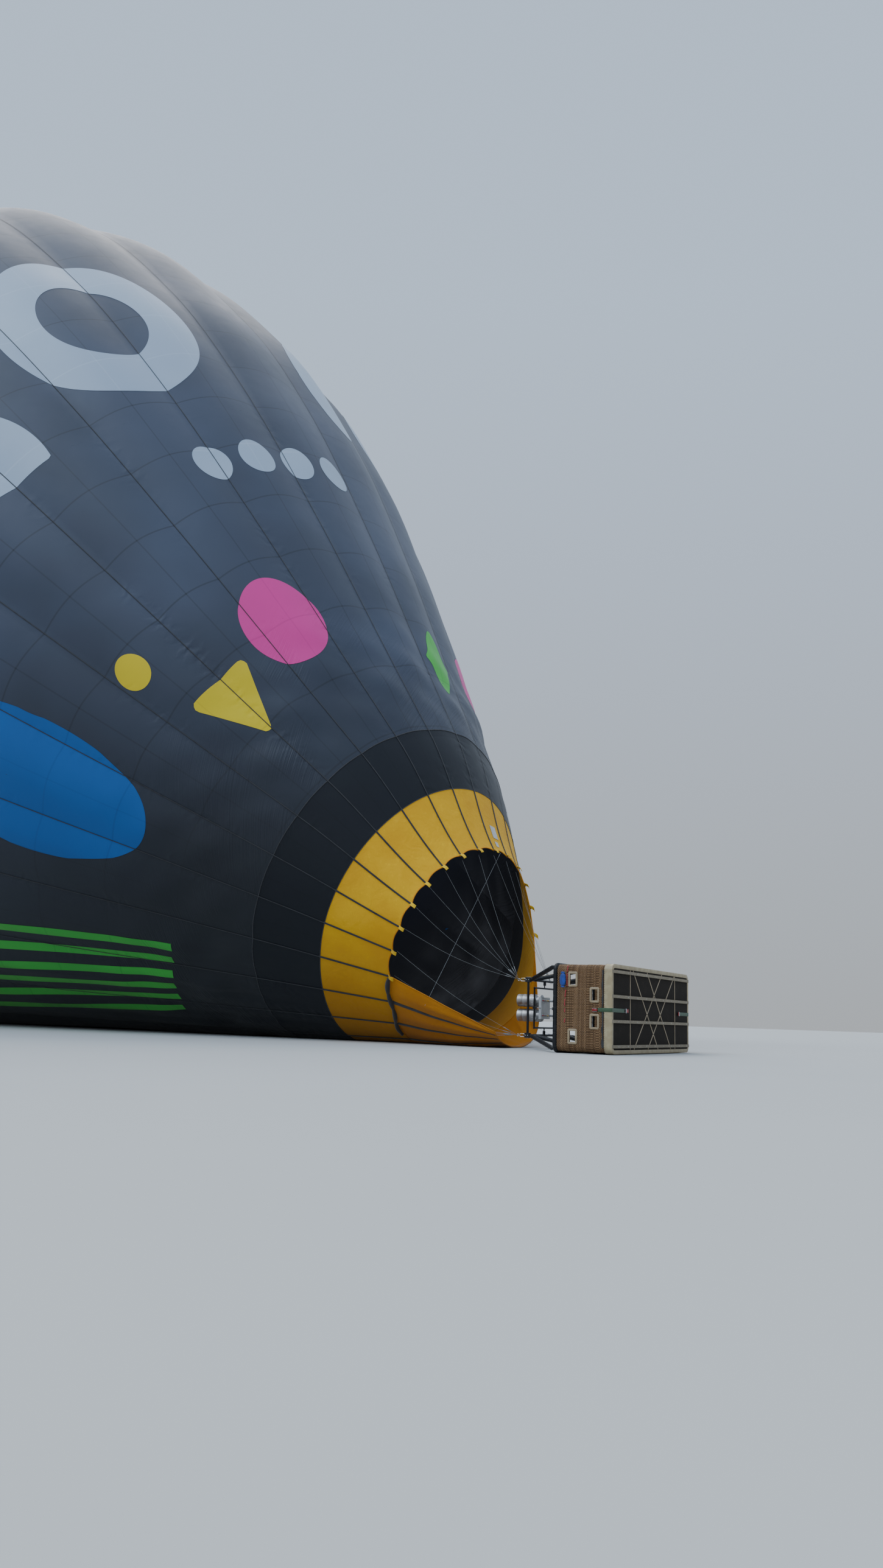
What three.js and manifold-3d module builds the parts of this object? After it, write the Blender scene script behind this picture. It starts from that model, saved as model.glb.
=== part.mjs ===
// A hot air balloon lying on its side on the ground while its envelope fills.
//
// Units are millimetres. Everything is first placed in a ground frame: x = 0 is the underside of the
// basket's runners, y = 0 the basket's middle and z = 0 the ground. The basket lies on one long side,
// so its own height runs along -x, from the floor to the rim, the load frame, the mouth and the crown.
// The whole balloon is then moved so that its origin is the point of the envelope where the lift acts.

import * as THREE from 'three';
import { mergeVertices } from 'three/addons/utils/BufferGeometryUtils.js';
import Module from 'manifold-3d';

const wasm = await Module();
wasm.setup();

// Envelope: the axis starts at the centre of the mouth, rises, and swings a little to the +y side.
const GORES = 24;
const SEGMENTS_PER_GORE = 2;
const SHELL = 10;
const SEAM_GAP = 0.5;
const MOUTH_CENTRE = new THREE.Vector3(-4380, 190, 2360);
const AXIS_RISE = THREE.MathUtils.degToRad(31);
const AXIS_SWING = THREE.MathUtils.degToRad(7);
const MOUTH_RADIUS = 2120;
const EQUATOR_RADIUS = 11730;
const EQUATOR_ALONG = 20800;
const CROWN_DEPTH = 9150;
const LOBE = 0.018;
const VENT_RADIUS = 2900;
const VALVE_RADIUS = 3150;
const VALVE_GAP = 60;
const CROWN_RING_RADIUS = 250;
const LIFT_POINT_ALONG = 19500;
const GROUND_CLEARANCE = 14;

// Seams across the gores, as distances along the axis from the mouth.
const SKIRT_END = 1400;
const LOWER_BAND_END = 2750;
const LOWER_BODY_END = 11000;

// Basket, in its own terms: length along y, width along z (it lies on its side), height along -x.
const BASKET_LENGTH = 4480;
const BASKET_WIDTH = 1600;
const BASKET_LIFT = 26;
const BASKET_CORNER = 125;
const RUNNER_HEIGHT = 40;
const RUNNER_WIDTH = 56;
const FLOOR_THICKNESS = 24;
const RIM_HEIGHT = 1130;
const WALL = 34;
const RIM_PAD_RADIUS = 42;
const BASE_BAND_HEIGHT = 150;
const BASE_BAND_THICKNESS = 12;
const PARTITION = 30;
const PARTITION_TOP = 1040;
const PILOT_HALF_LENGTH = 560;
const TOUCH = 0.3;

// Load frame and burner.
const FRAME_HEIGHT = 2390;
const FRAME_LENGTH = 1600;
const FRAME_WIDTH = 1100;
const FRAME_TUBE = 24;
const CORNER_BLOCK = 96;
const GIMBAL_LENGTH = 1000;
const GIMBAL_WIDTH = 800;
const GIMBAL_TUBE = 18;
const PIVOT_PIN = 12;
const PIVOT_BORE = 15;
const CAN_RADIUS = 130;
const CAN_LENGTH = 480;
const CAN_SPACING = 300;
const CAN_WALL = 6;
const BURNER_PLATE = 60;
const ARM_HALF = 90;
const UPRIGHT_RADIUS = 34;
const WIRE_RADIUS = 4;

const MIDDLE_Z = BASKET_LIFT + BASKET_WIDTH / 2;
const FRAME_X = -FRAME_HEIGHT;

// Finishes.
function finish(color, roughness, metalness = 0) {
  return new THREE.MeshStandardMaterial({ color, roughness, metalness });
}

const slateFabric = finish(0x3f454f, 0.6);
const blackFabric = finish(0x191b20, 0.6);
const skirtFabric = finish(0xd0952a, 0.8);
const webbing = finish(0x15161a, 0.8);
const steel = finish(0xb9bcc0, 0.3, 1);
const wireSteel = finish(0xc8c9c4, 0.45, 0.6);
const wicker = finish(0x9c7648, 0.8);
const floorBoard = finish(0x3f362c, 0.8);
const rawhide = finish(0xcdbb95, 0.7);
const weatheredWood = finish(0x8d8068, 0.85);
const blackLeather = finish(0x1a191b, 0.55);
const aluminium = finish(0xa9adb1, 0.4, 0.9);
const blueNylon = finish(0x1d4fb4, 0.7);

const balloon = new THREE.Group();
balloon.name = 'hot_air_balloon';

function add(name, geometry, material) {
  const mesh = new THREE.Mesh(geometry, material);
  mesh.name = name;
  balloon.add(mesh);
  return mesh;
}

// Booleans: closed meshes go in, one closed geometry comes out.
function toManifold(geometry) {
  const bare = geometry.clone();
  bare.deleteAttribute('normal');
  bare.deleteAttribute('uv');
  const merged = mergeVertices(bare, 1e-3);
  const vertProperties = new Float32Array(merged.attributes.position.array);
  const triVerts = new Uint32Array(merged.index.array);
  return new wasm.Manifold(new wasm.Mesh({ numProp: 3, vertProperties, triVerts }));
}

function fromManifold(solid) {
  const mesh = solid.getMesh();
  const geometry = new THREE.BufferGeometry();
  geometry.setAttribute('position', new THREE.BufferAttribute(mesh.vertProperties, 3));
  geometry.setIndex(new THREE.BufferAttribute(mesh.triVerts, 1));
  geometry.computeVertexNormals();
  return geometry;
}

function join(geometries, cuts = []) {
  let solid = toManifold(geometries[0]);
  for (const geometry of geometries.slice(1)) {
    solid = solid.add(toManifold(geometry));
  }
  for (const cut of cuts) {
    solid = solid.subtract(toManifold(cut));
  }
  return fromManifold(solid);
}

// A box given by its limits along x, y and z.
function boxBetween([x0, x1], [y0, y1], [z0, z1]) {
  const geometry = new THREE.BoxGeometry(Math.abs(x1 - x0), Math.abs(y1 - y0), Math.abs(z1 - z0));
  return geometry.translate((x0 + x1) / 2, (y0 + y1) / 2, (z0 + z1) / 2);
}

// A slab across x whose outline in y and z is a rectangle with round corners, about the basket's middle.
function roundedSlab([x0, x1], halfY, halfZ, radius) {
  const outline = new THREE.Shape();
  outline.moveTo(-halfY + radius, -halfZ);
  outline.lineTo(halfY - radius, -halfZ);
  outline.absarc(halfY - radius, -halfZ + radius, radius, -Math.PI / 2, 0, false);
  outline.lineTo(halfY, halfZ - radius);
  outline.absarc(halfY - radius, halfZ - radius, radius, 0, Math.PI / 2, false);
  outline.lineTo(-halfY + radius, halfZ);
  outline.absarc(-halfY + radius, halfZ - radius, radius, Math.PI / 2, Math.PI, false);
  outline.lineTo(-halfY, -halfZ + radius);
  outline.absarc(-halfY + radius, -halfZ + radius, radius, Math.PI, 1.5 * Math.PI, false);
  const depth = Math.abs(x1 - x0);
  const geometry = new THREE.ExtrudeGeometry(outline, { depth, bevelEnabled: false, curveSegments: 6 });
  const turn = new THREE.Matrix4().makeBasis(
    new THREE.Vector3(0, 1, 0),
    new THREE.Vector3(0, 0, 1),
    new THREE.Vector3(1, 0, 0),
  );
  return geometry.applyMatrix4(turn).translate(Math.min(x0, x1), 0, MIDDLE_Z);
}

// A round bar between two points.
function bar(from, to, radius, sides = 10) {
  const along = new THREE.Vector3().subVectors(to, from);
  const geometry = new THREE.CylinderGeometry(radius, radius, along.length(), sides);
  const upright = new THREE.Vector3(0, 1, 0);
  const turn = new THREE.Quaternion().setFromUnitVectors(upright, along.clone().normalize());
  const middle = new THREE.Vector3().addVectors(from, to).multiplyScalar(0.5);
  return geometry.applyQuaternion(turn).translate(middle.x, middle.y, middle.z);
}

// A closed mesh from rows of points that close round each row, and from the last row to the first.
// That last strip is cut along its other diagonal, so that two shells have the same face at their seam.
function wrapRows(rows) {
  const count = rows[0].length;
  const positions = rows.flat().flatMap((point) => [point.x, point.y, point.z]);
  const index = [];
  rows.forEach((row, i) => {
    const next = (i + 1) % rows.length;
    for (let j = 0; j < count; j += 1) {
      const right = (j + 1) % count;
      const [a, b, c, d] = [i * count + j, next * count + j, next * count + right, i * count + right];
      if (next === 0) {
        index.push(a, b, d, b, c, d);
      } else {
        index.push(a, b, c, a, c, d);
      }
    }
  });
  return facesOut(positions, index);
}

// Turns the faces round if the mesh encloses a negative volume.
function facesOut(positions, index) {
  let volume = 0;
  const corner = (i) => new THREE.Vector3().fromArray(positions, i * 3);
  for (let i = 0; i < index.length; i += 3) {
    volume += corner(index[i]).dot(corner(index[i + 1]).cross(corner(index[i + 2])));
  }
  if (volume < 0) {
    index.reverse();
  }
  const geometry = new THREE.BufferGeometry();
  geometry.setAttribute('position', new THREE.Float32BufferAttribute(positions, 3));
  geometry.setIndex(index);
  geometry.computeVertexNormals();
  return geometry;
}

// Envelope surface
const axis = new THREE.Vector3(
  -Math.cos(AXIS_RISE) * Math.cos(AXIS_SWING),
  Math.cos(AXIS_RISE) * Math.sin(AXIS_SWING),
  Math.sin(AXIS_RISE),
);
const level = new THREE.Vector3(Math.sin(AXIS_SWING), Math.cos(AXIS_SWING), 0);
const across = new THREE.Vector3().crossVectors(axis, level).negate();

// Radius over the load tapes, between the mouth and the equator.
const RADIUS_STATIONS = [
  { along: 0, radius: MOUTH_RADIUS },
  { along: 4000, radius: 4450 },
  { along: 8000, radius: 6910 },
  { along: 12000, radius: 9140 },
  { along: 16000, radius: 10800 },
  { along: EQUATOR_ALONG, radius: EQUATOR_RADIUS },
];
const MOUTH_SLOPE = 0.54;

function stationSlope(i) {
  if (i === 0) {
    return MOUTH_SLOPE;
  }
  if (i === RADIUS_STATIONS.length - 1) {
    return 0;
  }
  const before = RADIUS_STATIONS[i - 1];
  const after = RADIUS_STATIONS[i + 1];
  return (after.radius - before.radius) / (after.along - before.along);
}

function radiusAt(along) {
  if (along >= EQUATOR_ALONG) {
    const q = (along - EQUATOR_ALONG) / CROWN_DEPTH;
    return EQUATOR_RADIUS * Math.sqrt(Math.max(0, 1 - q * q));
  }
  let i = 0;
  while (i < RADIUS_STATIONS.length - 2 && along > RADIUS_STATIONS[i + 1].along) {
    i += 1;
  }
  const from = RADIUS_STATIONS[i];
  const to = RADIUS_STATIONS[i + 1];
  const step = to.along - from.along;
  const t = (along - from.along) / step;
  return (2 * t ** 3 - 3 * t ** 2 + 1) * from.radius
    + (t ** 3 - 2 * t ** 2 + t) * step * stationSlope(i)
    + (3 * t ** 2 - 2 * t ** 3) * to.radius
    + (t ** 3 - t ** 2) * step * stationSlope(i + 1);
}

// Distance along the axis at which the crown has a given radius.
function crownAlong(radius) {
  return EQUATOR_ALONG + CROWN_DEPTH * Math.sqrt(1 - (radius / EQUATOR_RADIUS) ** 2);
}

function smooth(low, high, value) {
  return THREE.MathUtils.smoothstep(value, low, high);
}

// The fabric between two load tapes bulges, and the lowest gores lie slack on the ground.
const BULGE_START = 1000;
const BULGE_FULL = 6000;
const SAG_END = 19000;
const SAG_FULL = 12000;
const SAG_HALF_ANGLE = THREE.MathUtils.degToRad(80);
const BOTTOM = -Math.PI / 2;

// The far side of the mouth is drawn in and towards the basket, and its top lies back.
const PULL_ANGLE = THREE.MathUtils.degToRad(-23);
const PULL_WIDTH = 6.2;
const PULL_FORWARD = 1400;
const PULL_GROWTH = 0.35;
const PULL_SIDEWAYS = -750;
const PULL_END = 11000;
const LAY_BACK = 380;
const LAY_BACK_ANGLE = THREE.MathUtils.degToRad(95);
const LAY_BACK_WIDTH = 1.5;

function idealPoint(along, angle) {
  const gore = angle * GORES / (2 * Math.PI);
  const bulge = LOBE * smooth(BULGE_START, BULGE_FULL, along) * (1 - Math.cos(2 * Math.PI * gore)) / 2;
  const radius = radiusAt(along) * (1 + bulge);
  return MOUTH_CENTRE.clone()
    .addScaledVector(axis, along)
    .addScaledVector(level, radius * Math.cos(angle))
    .addScaledVector(across, radius * Math.sin(angle));
}

function surfacePoint(along, angle) {
  const point = idealPoint(along, angle);
  const fromBottom = Math.abs(Math.atan2(Math.sin(angle - BOTTOM), Math.cos(angle - BOTTOM)));
  const height = idealPoint(along, BOTTOM).z - GROUND_CLEARANCE;
  const round = Math.cos(Math.min(1, fromBottom / SAG_HALF_ANGLE) * Math.PI / 2) ** 2;
  point.z -= height * round * (1 - smooth(SAG_FULL, SAG_END, along));
  return drawnIn(point, along, angle);
}

// A smooth share between 0 and 1, full at one angle and gone on the opposite side.
function lobe(angle, centre, width) {
  return ((1 + Math.cos(angle - centre)) / 2) ** width;
}

function drawnIn(point, along, angle) {
  const near = Math.max(0, Math.min(along, LOWER_BAND_END));
  const pull = lobe(angle, PULL_ANGLE, PULL_WIDTH) * (1 - smooth(LOWER_BAND_END, PULL_END, along));
  point.addScaledVector(axis, -pull * (PULL_FORWARD + PULL_GROWTH * near));
  point.addScaledVector(level, pull * PULL_SIDEWAYS);
  point.x -= LAY_BACK * lobe(angle, LAY_BACK_ANGLE, LAY_BACK_WIDTH) * (1 - smooth(0, LOWER_BAND_END, along));
  point.z = Math.max(point.z, GROUND_CLEARANCE);
  return point;
}

function surfaceNormal(along, angle) {
  const alongStep = 20;
  const angleStep = 0.002;
  const tangentAlong = surfacePoint(along + alongStep, angle).sub(surfacePoint(along - alongStep, angle));
  const tangentRound = surfacePoint(along, angle + angleStep).sub(surfacePoint(along, angle - angleStep));
  const normal = tangentAlong.cross(tangentRound).normalize();
  const outward = surfacePoint(along, angle).sub(MOUTH_CENTRE.clone().addScaledVector(axis, along));
  return normal.dot(outward) < 0 ? normal.negate() : normal;
}

// Points on the outside and on the inside of the shell, one shell thickness apart.
function shellPair(along, angle) {
  const outer = surfacePoint(along, angle);
  const inner = outer.clone().addScaledVector(surfaceNormal(along, angle), -SHELL);
  return { outer, inner };
}

function bandShell(stations) {
  const count = GORES * SEGMENTS_PER_GORE;
  const outerRows = [];
  const innerRows = [];
  for (const along of stations) {
    const pairs = [];
    for (let j = 0; j < count; j += 1) {
      pairs.push(shellPair(along, (j / count) * 2 * Math.PI));
    }
    outerRows.push(pairs.map((pair) => pair.outer));
    innerRows.push(pairs.map((pair) => pair.inner));
  }
  return wrapRows([...outerRows, ...innerRows.reverse()]);
}

function stationsBetween(from, to, steps) {
  const start = from + SEAM_GAP;
  return Array.from({ length: steps + 1 }, (_, i) => start + ((to - start) * i) / steps);
}

// On the crown, stations are even in angle instead, so that they crowd where it turns flat.
function crownStations(fromAlong, radius, steps) {
  const first = Math.asin((fromAlong - EQUATOR_ALONG) / CROWN_DEPTH);
  const last = Math.acos(radius / EQUATOR_RADIUS);
  return Array.from({ length: steps + 1 }, (_, i) => {
    const turn = first + ((last - first) * i) / steps;
    return EQUATOR_ALONG + CROWN_DEPTH * Math.sin(turn);
  });
}

function addEnvelope() {
  add('mouth_skirt', bandShell(stationsBetween(0, SKIRT_END, 1)), skirtFabric);
  add('envelope_lower_band', bandShell(stationsBetween(SKIRT_END, LOWER_BAND_END, 1)), blackFabric);
  add('envelope_lower', bandShell(stationsBetween(LOWER_BAND_END, LOWER_BODY_END, 5)), slateFabric);
  add('envelope_middle', bandShell(stationsBetween(LOWER_BODY_END, EQUATOR_ALONG, 6)), slateFabric);
  add('envelope_top', bandShell(crownStations(EQUATOR_ALONG + SEAM_GAP, VENT_RADIUS, 9)), slateFabric);
}

// Scoop: fabric from the mouth's lower half to an open end at the load frame.
const SCOOP_FROM = THREE.MathUtils.degToRad(210);
const SCOOP_TO = THREE.MathUtils.degToRad(375);
const SCOOP_NEAR_TIP = new THREE.Vector3(-2960, -1100, 300);
const SCOOP_FAR_TIP = new THREE.Vector3(-3040, 1150, 600);
const SCOOP_STEPS = 5;

// The open end is a flat arc on the ground, from the near tip (t = 0) up to the far tip (t = 1).
function scoopTip(t) {
  const turn = Math.PI * (1 + t);
  const point = new THREE.Vector3().lerpVectors(SCOOP_NEAR_TIP, SCOOP_FAR_TIP, (1 + Math.cos(turn)) / 2);
  const rise = THREE.MathUtils.lerp(SCOOP_NEAR_TIP.z, SCOOP_FAR_TIP.z, t);
  point.z = GROUND_CLEARANCE + rise * (1 + Math.sin(turn));
  return point;
}

function addScoop() {
  const segment = (2 * Math.PI) / (GORES * SEGMENTS_PER_GORE);
  const count = Math.round((SCOOP_TO - SCOOP_FROM) / segment);
  const outerRows = [];
  const innerRows = [];
  for (let i = 0; i <= SCOOP_STEPS; i += 1) {
    const v = i / SCOOP_STEPS;
    const outer = [];
    const inner = [];
    for (let j = 0; j <= count; j += 1) {
      const angle = SCOOP_FROM + j * segment;
      const pair = shellPair(0, angle);
      const tip = scoopTip(j / count);
      const shift = tip.clone().sub(pair.outer);
      const start = shift.clone().normalize().multiplyScalar(SEAM_GAP);
      const outerPoint = pair.outer.clone().addScaledVector(shift, v).add(start);
      const inward = pair.inner.clone().sub(pair.outer).lerp(scoopInward(j / count), v);
      outer.push(outerPoint);
      inner.push(outerPoint.clone().add(inward.setLength(SHELL)));
    }
    outerRows.push(outer);
    innerRows.push(inner);
  }
  const loops = outerRows.map((row, i) => [...row, ...innerRows[i].slice().reverse()]);
  add('scoop', cappedRows(loops), skirtFabric);
}

// Direction from the scoop's outside to its inside at its open end.
function scoopInward(t) {
  const turn = Math.PI * (1 + t);
  return new THREE.Vector3(0, -Math.cos(turn), -Math.sin(turn)).multiplyScalar(SHELL);
}

// A closed mesh from closed loops of a strip section: sides between loops and a cap at each end.
function cappedRows(loops) {
  const count = loops[0].length;
  const positions = loops.flat().flatMap((point) => [point.x, point.y, point.z]);
  const index = [];
  for (let i = 0; i < loops.length - 1; i += 1) {
    for (let j = 0; j < count; j += 1) {
      const right = (j + 1) % count;
      const a = i * count + j;
      const b = (i + 1) * count + j;
      const c = (i + 1) * count + right;
      const d = i * count + right;
      index.push(a, b, c, a, c, d);
    }
  }
  for (const [row, flip] of [[0, false], [loops.length - 1, true]]) {
    for (let j = 0; j < count / 2 - 1; j += 1) {
      const a = row * count + j;
      const b = row * count + j + 1;
      const c = row * count + (count - 2 - j);
      const d = row * count + (count - 1 - j);
      index.push(...(flip ? [a, c, b, a, d, c] : [a, b, c, a, c, d]));
    }
  }
  return facesOut(positions, index);
}

// Crown: a ring in the middle of the vent, with one flat tape to each gore seam.
const CROWN_TAPE_WIDTH = 44;
const CROWN_TAPE_STEPS = 3;
const CROWN_TAPE_LAP = 30;
const CROWN_TAPE_GAP = 2;
const CROWN_RING = { halfWidth: 36, under: 16, over: 8 };

function crownPoint(radius, angle, lift) {
  return MOUTH_CENTRE.clone()
    .addScaledVector(axis, crownAlong(radius) + lift)
    .addScaledVector(level, radius * Math.cos(angle))
    .addScaledVector(across, radius * Math.sin(angle));
}

function crownTape(angle) {
  const side = level.clone().multiplyScalar(-Math.sin(angle)).addScaledVector(across, Math.cos(angle));
  const inside = CROWN_RING_RADIUS - CROWN_TAPE_LAP;
  const outside = VENT_RADIUS - CROWN_TAPE_GAP;
  const loops = [];
  for (let i = 0; i <= CROWN_TAPE_STEPS; i += 1) {
    const radius = inside + ((outside - inside) * i) / CROWN_TAPE_STEPS;
    const top = crownPoint(radius, angle, 0);
    const under = crownPoint(radius, angle, -SHELL);
    loops.push([
      top.clone().addScaledVector(side, -CROWN_TAPE_WIDTH / 2),
      top.clone().addScaledVector(side, CROWN_TAPE_WIDTH / 2),
      under.clone().addScaledVector(side, CROWN_TAPE_WIDTH / 2),
      under.clone().addScaledVector(side, -CROWN_TAPE_WIDTH / 2),
    ]);
  }
  return cappedRows(loops);
}

// A flat ring about the envelope's axis, four points to a section.
function flatRing(radius, alongFrom, alongTo) {
  const section = [
    { reach: radius - CROWN_RING.halfWidth, along: alongFrom },
    { reach: radius + CROWN_RING.halfWidth, along: alongFrom },
    { reach: radius + CROWN_RING.halfWidth, along: alongTo },
    { reach: radius - CROWN_RING.halfWidth, along: alongTo },
  ];
  const rows = [];
  for (let j = 0; j < GORES; j += 1) {
    const angle = (j / GORES) * 2 * Math.PI;
    rows.push(section.map(({ reach, along }) => MOUTH_CENTRE.clone()
      .addScaledVector(axis, along)
      .addScaledVector(level, reach * Math.cos(angle))
      .addScaledVector(across, reach * Math.sin(angle))));
  }
  return wrapRows(rows);
}

function addCrown() {
  const top = crownAlong(CROWN_RING_RADIUS);
  const tapes = Array.from({ length: GORES }, (_, k) => crownTape((k / GORES) * 2 * Math.PI));
  const ring = flatRing(CROWN_RING_RADIUS, top - CROWN_RING.under, top + CROWN_RING.over);
  add('crown_ring', join([ring, ...tapes]), webbing);
  addValve();
}

// The parachute valve: a slack disc that closes the vent from inside.
function addValve() {
  const rings = [0, 0.3, 0.55, 0.8, 1];
  const sides = GORES * 2;
  const sheet = (drop) => rings.slice(1).map((share) => {
    const radius = share * VALVE_RADIUS;
    const row = [];
    for (let j = 0; j < sides; j += 1) {
      row.push(crownPoint(radius, (j / sides) * 2 * Math.PI, -VALVE_GAP - drop));
    }
    return row;
  });
  const upper = sheet(0);
  const lower = sheet(SHELL);
  const rows = [...upper, ...lower.reverse()];
  const positions = rows.flat().flatMap((point) => [point.x, point.y, point.z]);
  const index = [];
  for (let i = 0; i < rows.length - 1; i += 1) {
    for (let j = 0; j < sides; j += 1) {
      const right = (j + 1) % sides;
      const a = i * sides + j;
      const b = (i + 1) * sides + j;
      const c = (i + 1) * sides + right;
      const d = i * sides + right;
      index.push(a, b, c, a, c, d);
    }
  }
  for (const [row, drop, flip] of [[0, 0, true], [rows.length - 1, SHELL, false]]) {
    const centre = positions.length / 3;
    const point = crownPoint(0, 0, -VALVE_GAP - drop);
    positions.push(point.x, point.y, point.z);
    for (let j = 0; j < sides; j += 1) {
      const a = row * sides + j;
      const b = row * sides + ((j + 1) % sides);
      index.push(...(flip ? [centre, a, b] : [centre, b, a]));
    }
  }
  add('parachute_valve', facesOut(positions, index), slateFabric);
}

// Basket
function addBasket() {
  const floorTop = RUNNER_HEIGHT + TOUCH + FLOOR_THICKNESS;
  addWalls(floorTop);
  add('basket_floor', join([roundedSlab(
    [-RUNNER_HEIGHT - TOUCH, -floorTop],
    BASKET_LENGTH / 2,
    BASKET_WIDTH / 2,
    BASKET_CORNER,
  )]), floorBoard);
  addBaseBand();
  addRunners();
  addRimPad();
  addPartitions(floorTop);
  addFuelCylinders(floorTop);
  addPouch();
}

// Step holes, as places on an end wall: height above the runners, and offset from the wall's middle.
const STEP_HOLE = { high: 120, wide: 210 };
const END_HOLES = [
  { height: 815, offset: 520 },
  { height: 385, offset: 240 },
  { height: 385, offset: -240 },
  { height: 815, offset: -520 },
];
const SIDE_HOLES = [
  { height: 385, offset: 900 },
  { height: 815, offset: 1750 },
  { height: 385, offset: -900 },
  { height: 815, offset: -1750 },
];

function holeBox(height, [y0, y1], [z0, z1]) {
  return boxBetween([-height - STEP_HOLE.high / 2, -height + STEP_HOLE.high / 2], [y0, y1], [z0, z1]);
}

// The end walls take the round corners with them; the side walls are flat between them.
function addWalls(floorTop) {
  const x = [-floorTop - TOUCH, -RIM_HEIGHT];
  const half = BASKET_LENGTH / 2;
  const halfZ = BASKET_WIDTH / 2;
  const span = [BASKET_LIFT, BASKET_LIFT + BASKET_WIDTH];
  const between = half - BASKET_CORNER - TOUCH;
  const hollow = [x[0] + WALL, x[1] - WALL];
  for (const [name, side] of [['near', -1], ['far', 1]]) {
    const shell = roundedSlab(x, half, halfZ, BASKET_CORNER);
    const inside = roundedSlab(hollow, half - WALL, halfZ - WALL, BASKET_CORNER - WALL);
    const rest = boxBetween(hollow, [side * (between + TOUCH), -side * BASKET_LENGTH], [0, 2 * BASKET_WIDTH]);
    const holes = END_HOLES.map(({ height, offset }) => holeBox(
      height,
      [side * (half + WALL), side * (half - 2 * WALL)],
      [MIDDLE_Z + offset - STEP_HOLE.wide / 2, MIDDLE_Z + offset + STEP_HOLE.wide / 2],
    ));
    add(`basket_${name}_end_wall`, join([shell], [inside, rest, ...holes]), wicker);
  }
  for (const [name, z, inward] of [['lower', span[0], 1], ['upper', span[1], -1]]) {
    const wall = boxBetween(x, [-between, between], [z, z + inward * WALL]);
    const holes = SIDE_HOLES.map(({ height, offset }) => holeBox(
      height,
      [offset - STEP_HOLE.wide / 2, offset + STEP_HOLE.wide / 2],
      [z - 2 * WALL, z + 2 * WALL],
    ));
    add(`basket_${name}_side_wall`, join([wall], holes), wicker);
  }
}

function addBaseBand() {
  const halfY = BASKET_LENGTH / 2 + TOUCH;
  const halfZ = BASKET_WIDTH / 2 + TOUCH;
  const t = BASE_BAND_THICKNESS;
  const x = [-RUNNER_HEIGHT, -RUNNER_HEIGHT - BASE_BAND_HEIGHT];
  const outer = roundedSlab(x, halfY + t, halfZ + t, BASKET_CORNER + t);
  const inner = roundedSlab([x[0] + t, x[1] - t], halfY, halfZ, BASKET_CORNER);
  add('base_band', join([outer], [inner]), rawhide);
}

const RUNNER = { count: 4, spacing: 450, taper: 130, overhang: 10, tipHeight: 0.7 };

function addRunners() {
  const taper = RUNNER.taper;
  const half = BASKET_LENGTH / 2 + RUNNER.overhang;
  const tip = RUNNER_HEIGHT * RUNNER.tipHeight;
  for (let k = 0; k < RUNNER.count; k += 1) {
    const outline = new THREE.Shape([
      new THREE.Vector2(-half, RUNNER_HEIGHT),
      new THREE.Vector2(-half, tip),
      new THREE.Vector2(-half + taper, 0),
      new THREE.Vector2(half - taper, 0),
      new THREE.Vector2(half, tip),
      new THREE.Vector2(half, RUNNER_HEIGHT),
    ]);
    const geometry = new THREE.ExtrudeGeometry(outline, { depth: RUNNER_WIDTH, bevelEnabled: false });
    geometry.rotateZ(Math.PI / 2);
    const z = MIDDLE_Z + (k - (RUNNER.count - 1) / 2) * RUNNER.spacing - RUNNER_WIDTH / 2;
    geometry.translate(0, 0, z);
    add(`runner_${k + 1}`, geometry, weatheredWood);
  }
}

const RIM_CORNER = BASKET_CORNER - WALL / 2;
const RIM_SIDES = 10;

function addRimPad() {
  const corner = RIM_CORNER;
  const halfY = BASKET_LENGTH / 2 - WALL / 2;
  const halfZ = BASKET_WIDTH / 2 - WALL / 2;
  const x = -RIM_HEIGHT - TOUCH - RIM_PAD_RADIUS * Math.cos(Math.PI / RIM_SIDES);
  const sides = RIM_SIDES;
  const rows = [];
  for (const [sy, sz, start] of [[1, 1, 0], [-1, 1, 90], [-1, -1, 180], [1, -1, 270]]) {
    for (let i = 0; i <= 4; i += 1) {
      const turn = THREE.MathUtils.degToRad(start + i * 22.5);
      const out = new THREE.Vector3(0, Math.cos(turn), Math.sin(turn));
      const centre = new THREE.Vector3(x, sy * (halfY - corner), MIDDLE_Z + sz * (halfZ - corner));
      centre.addScaledVector(out, corner);
      const row = [];
      for (let j = 0; j < sides; j += 1) {
        const a = (j / sides) * 2 * Math.PI;
        row.push(centre.clone()
          .addScaledVector(out, RIM_PAD_RADIUS * Math.cos(a))
          .add(new THREE.Vector3(RIM_PAD_RADIUS * Math.sin(a), 0, 0)));
      }
      rows.push(row);
    }
  }
  add('rim_pad', wrapRows(rows), blackLeather);
}

function addPartitions(floorTop) {
  const x = [-floorTop - TOUCH, -PARTITION_TOP];
  const z = [BASKET_LIFT + WALL + TOUCH, BASKET_LIFT + BASKET_WIDTH - WALL - TOUCH];
  const end = BASKET_LENGTH / 2 - WALL - TOUCH;
  [-1, 1].forEach((side, k) => {
    const inside = side * (PILOT_HALF_LENGTH + PARTITION);
    const y = [side * PILOT_HALF_LENGTH, inside];
    add(`cross_partition_${k + 1}`, boxBetween(x, y, z), wicker);
    add(`long_partition_${k + 1}`, boxBetween(
      x,
      [inside + side * TOUCH, side * end],
      [MIDDLE_Z - PARTITION / 2, MIDDLE_Z + PARTITION / 2],
    ), wicker);
  });
}

// Fuel cylinders stand in the pilot's compartment, two along each long wall.
const CYLINDER = { radius: 150, body: 780, dome: 90, collar: 95, collarHeight: 110, reach: 380, gap: 12 };

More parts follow.
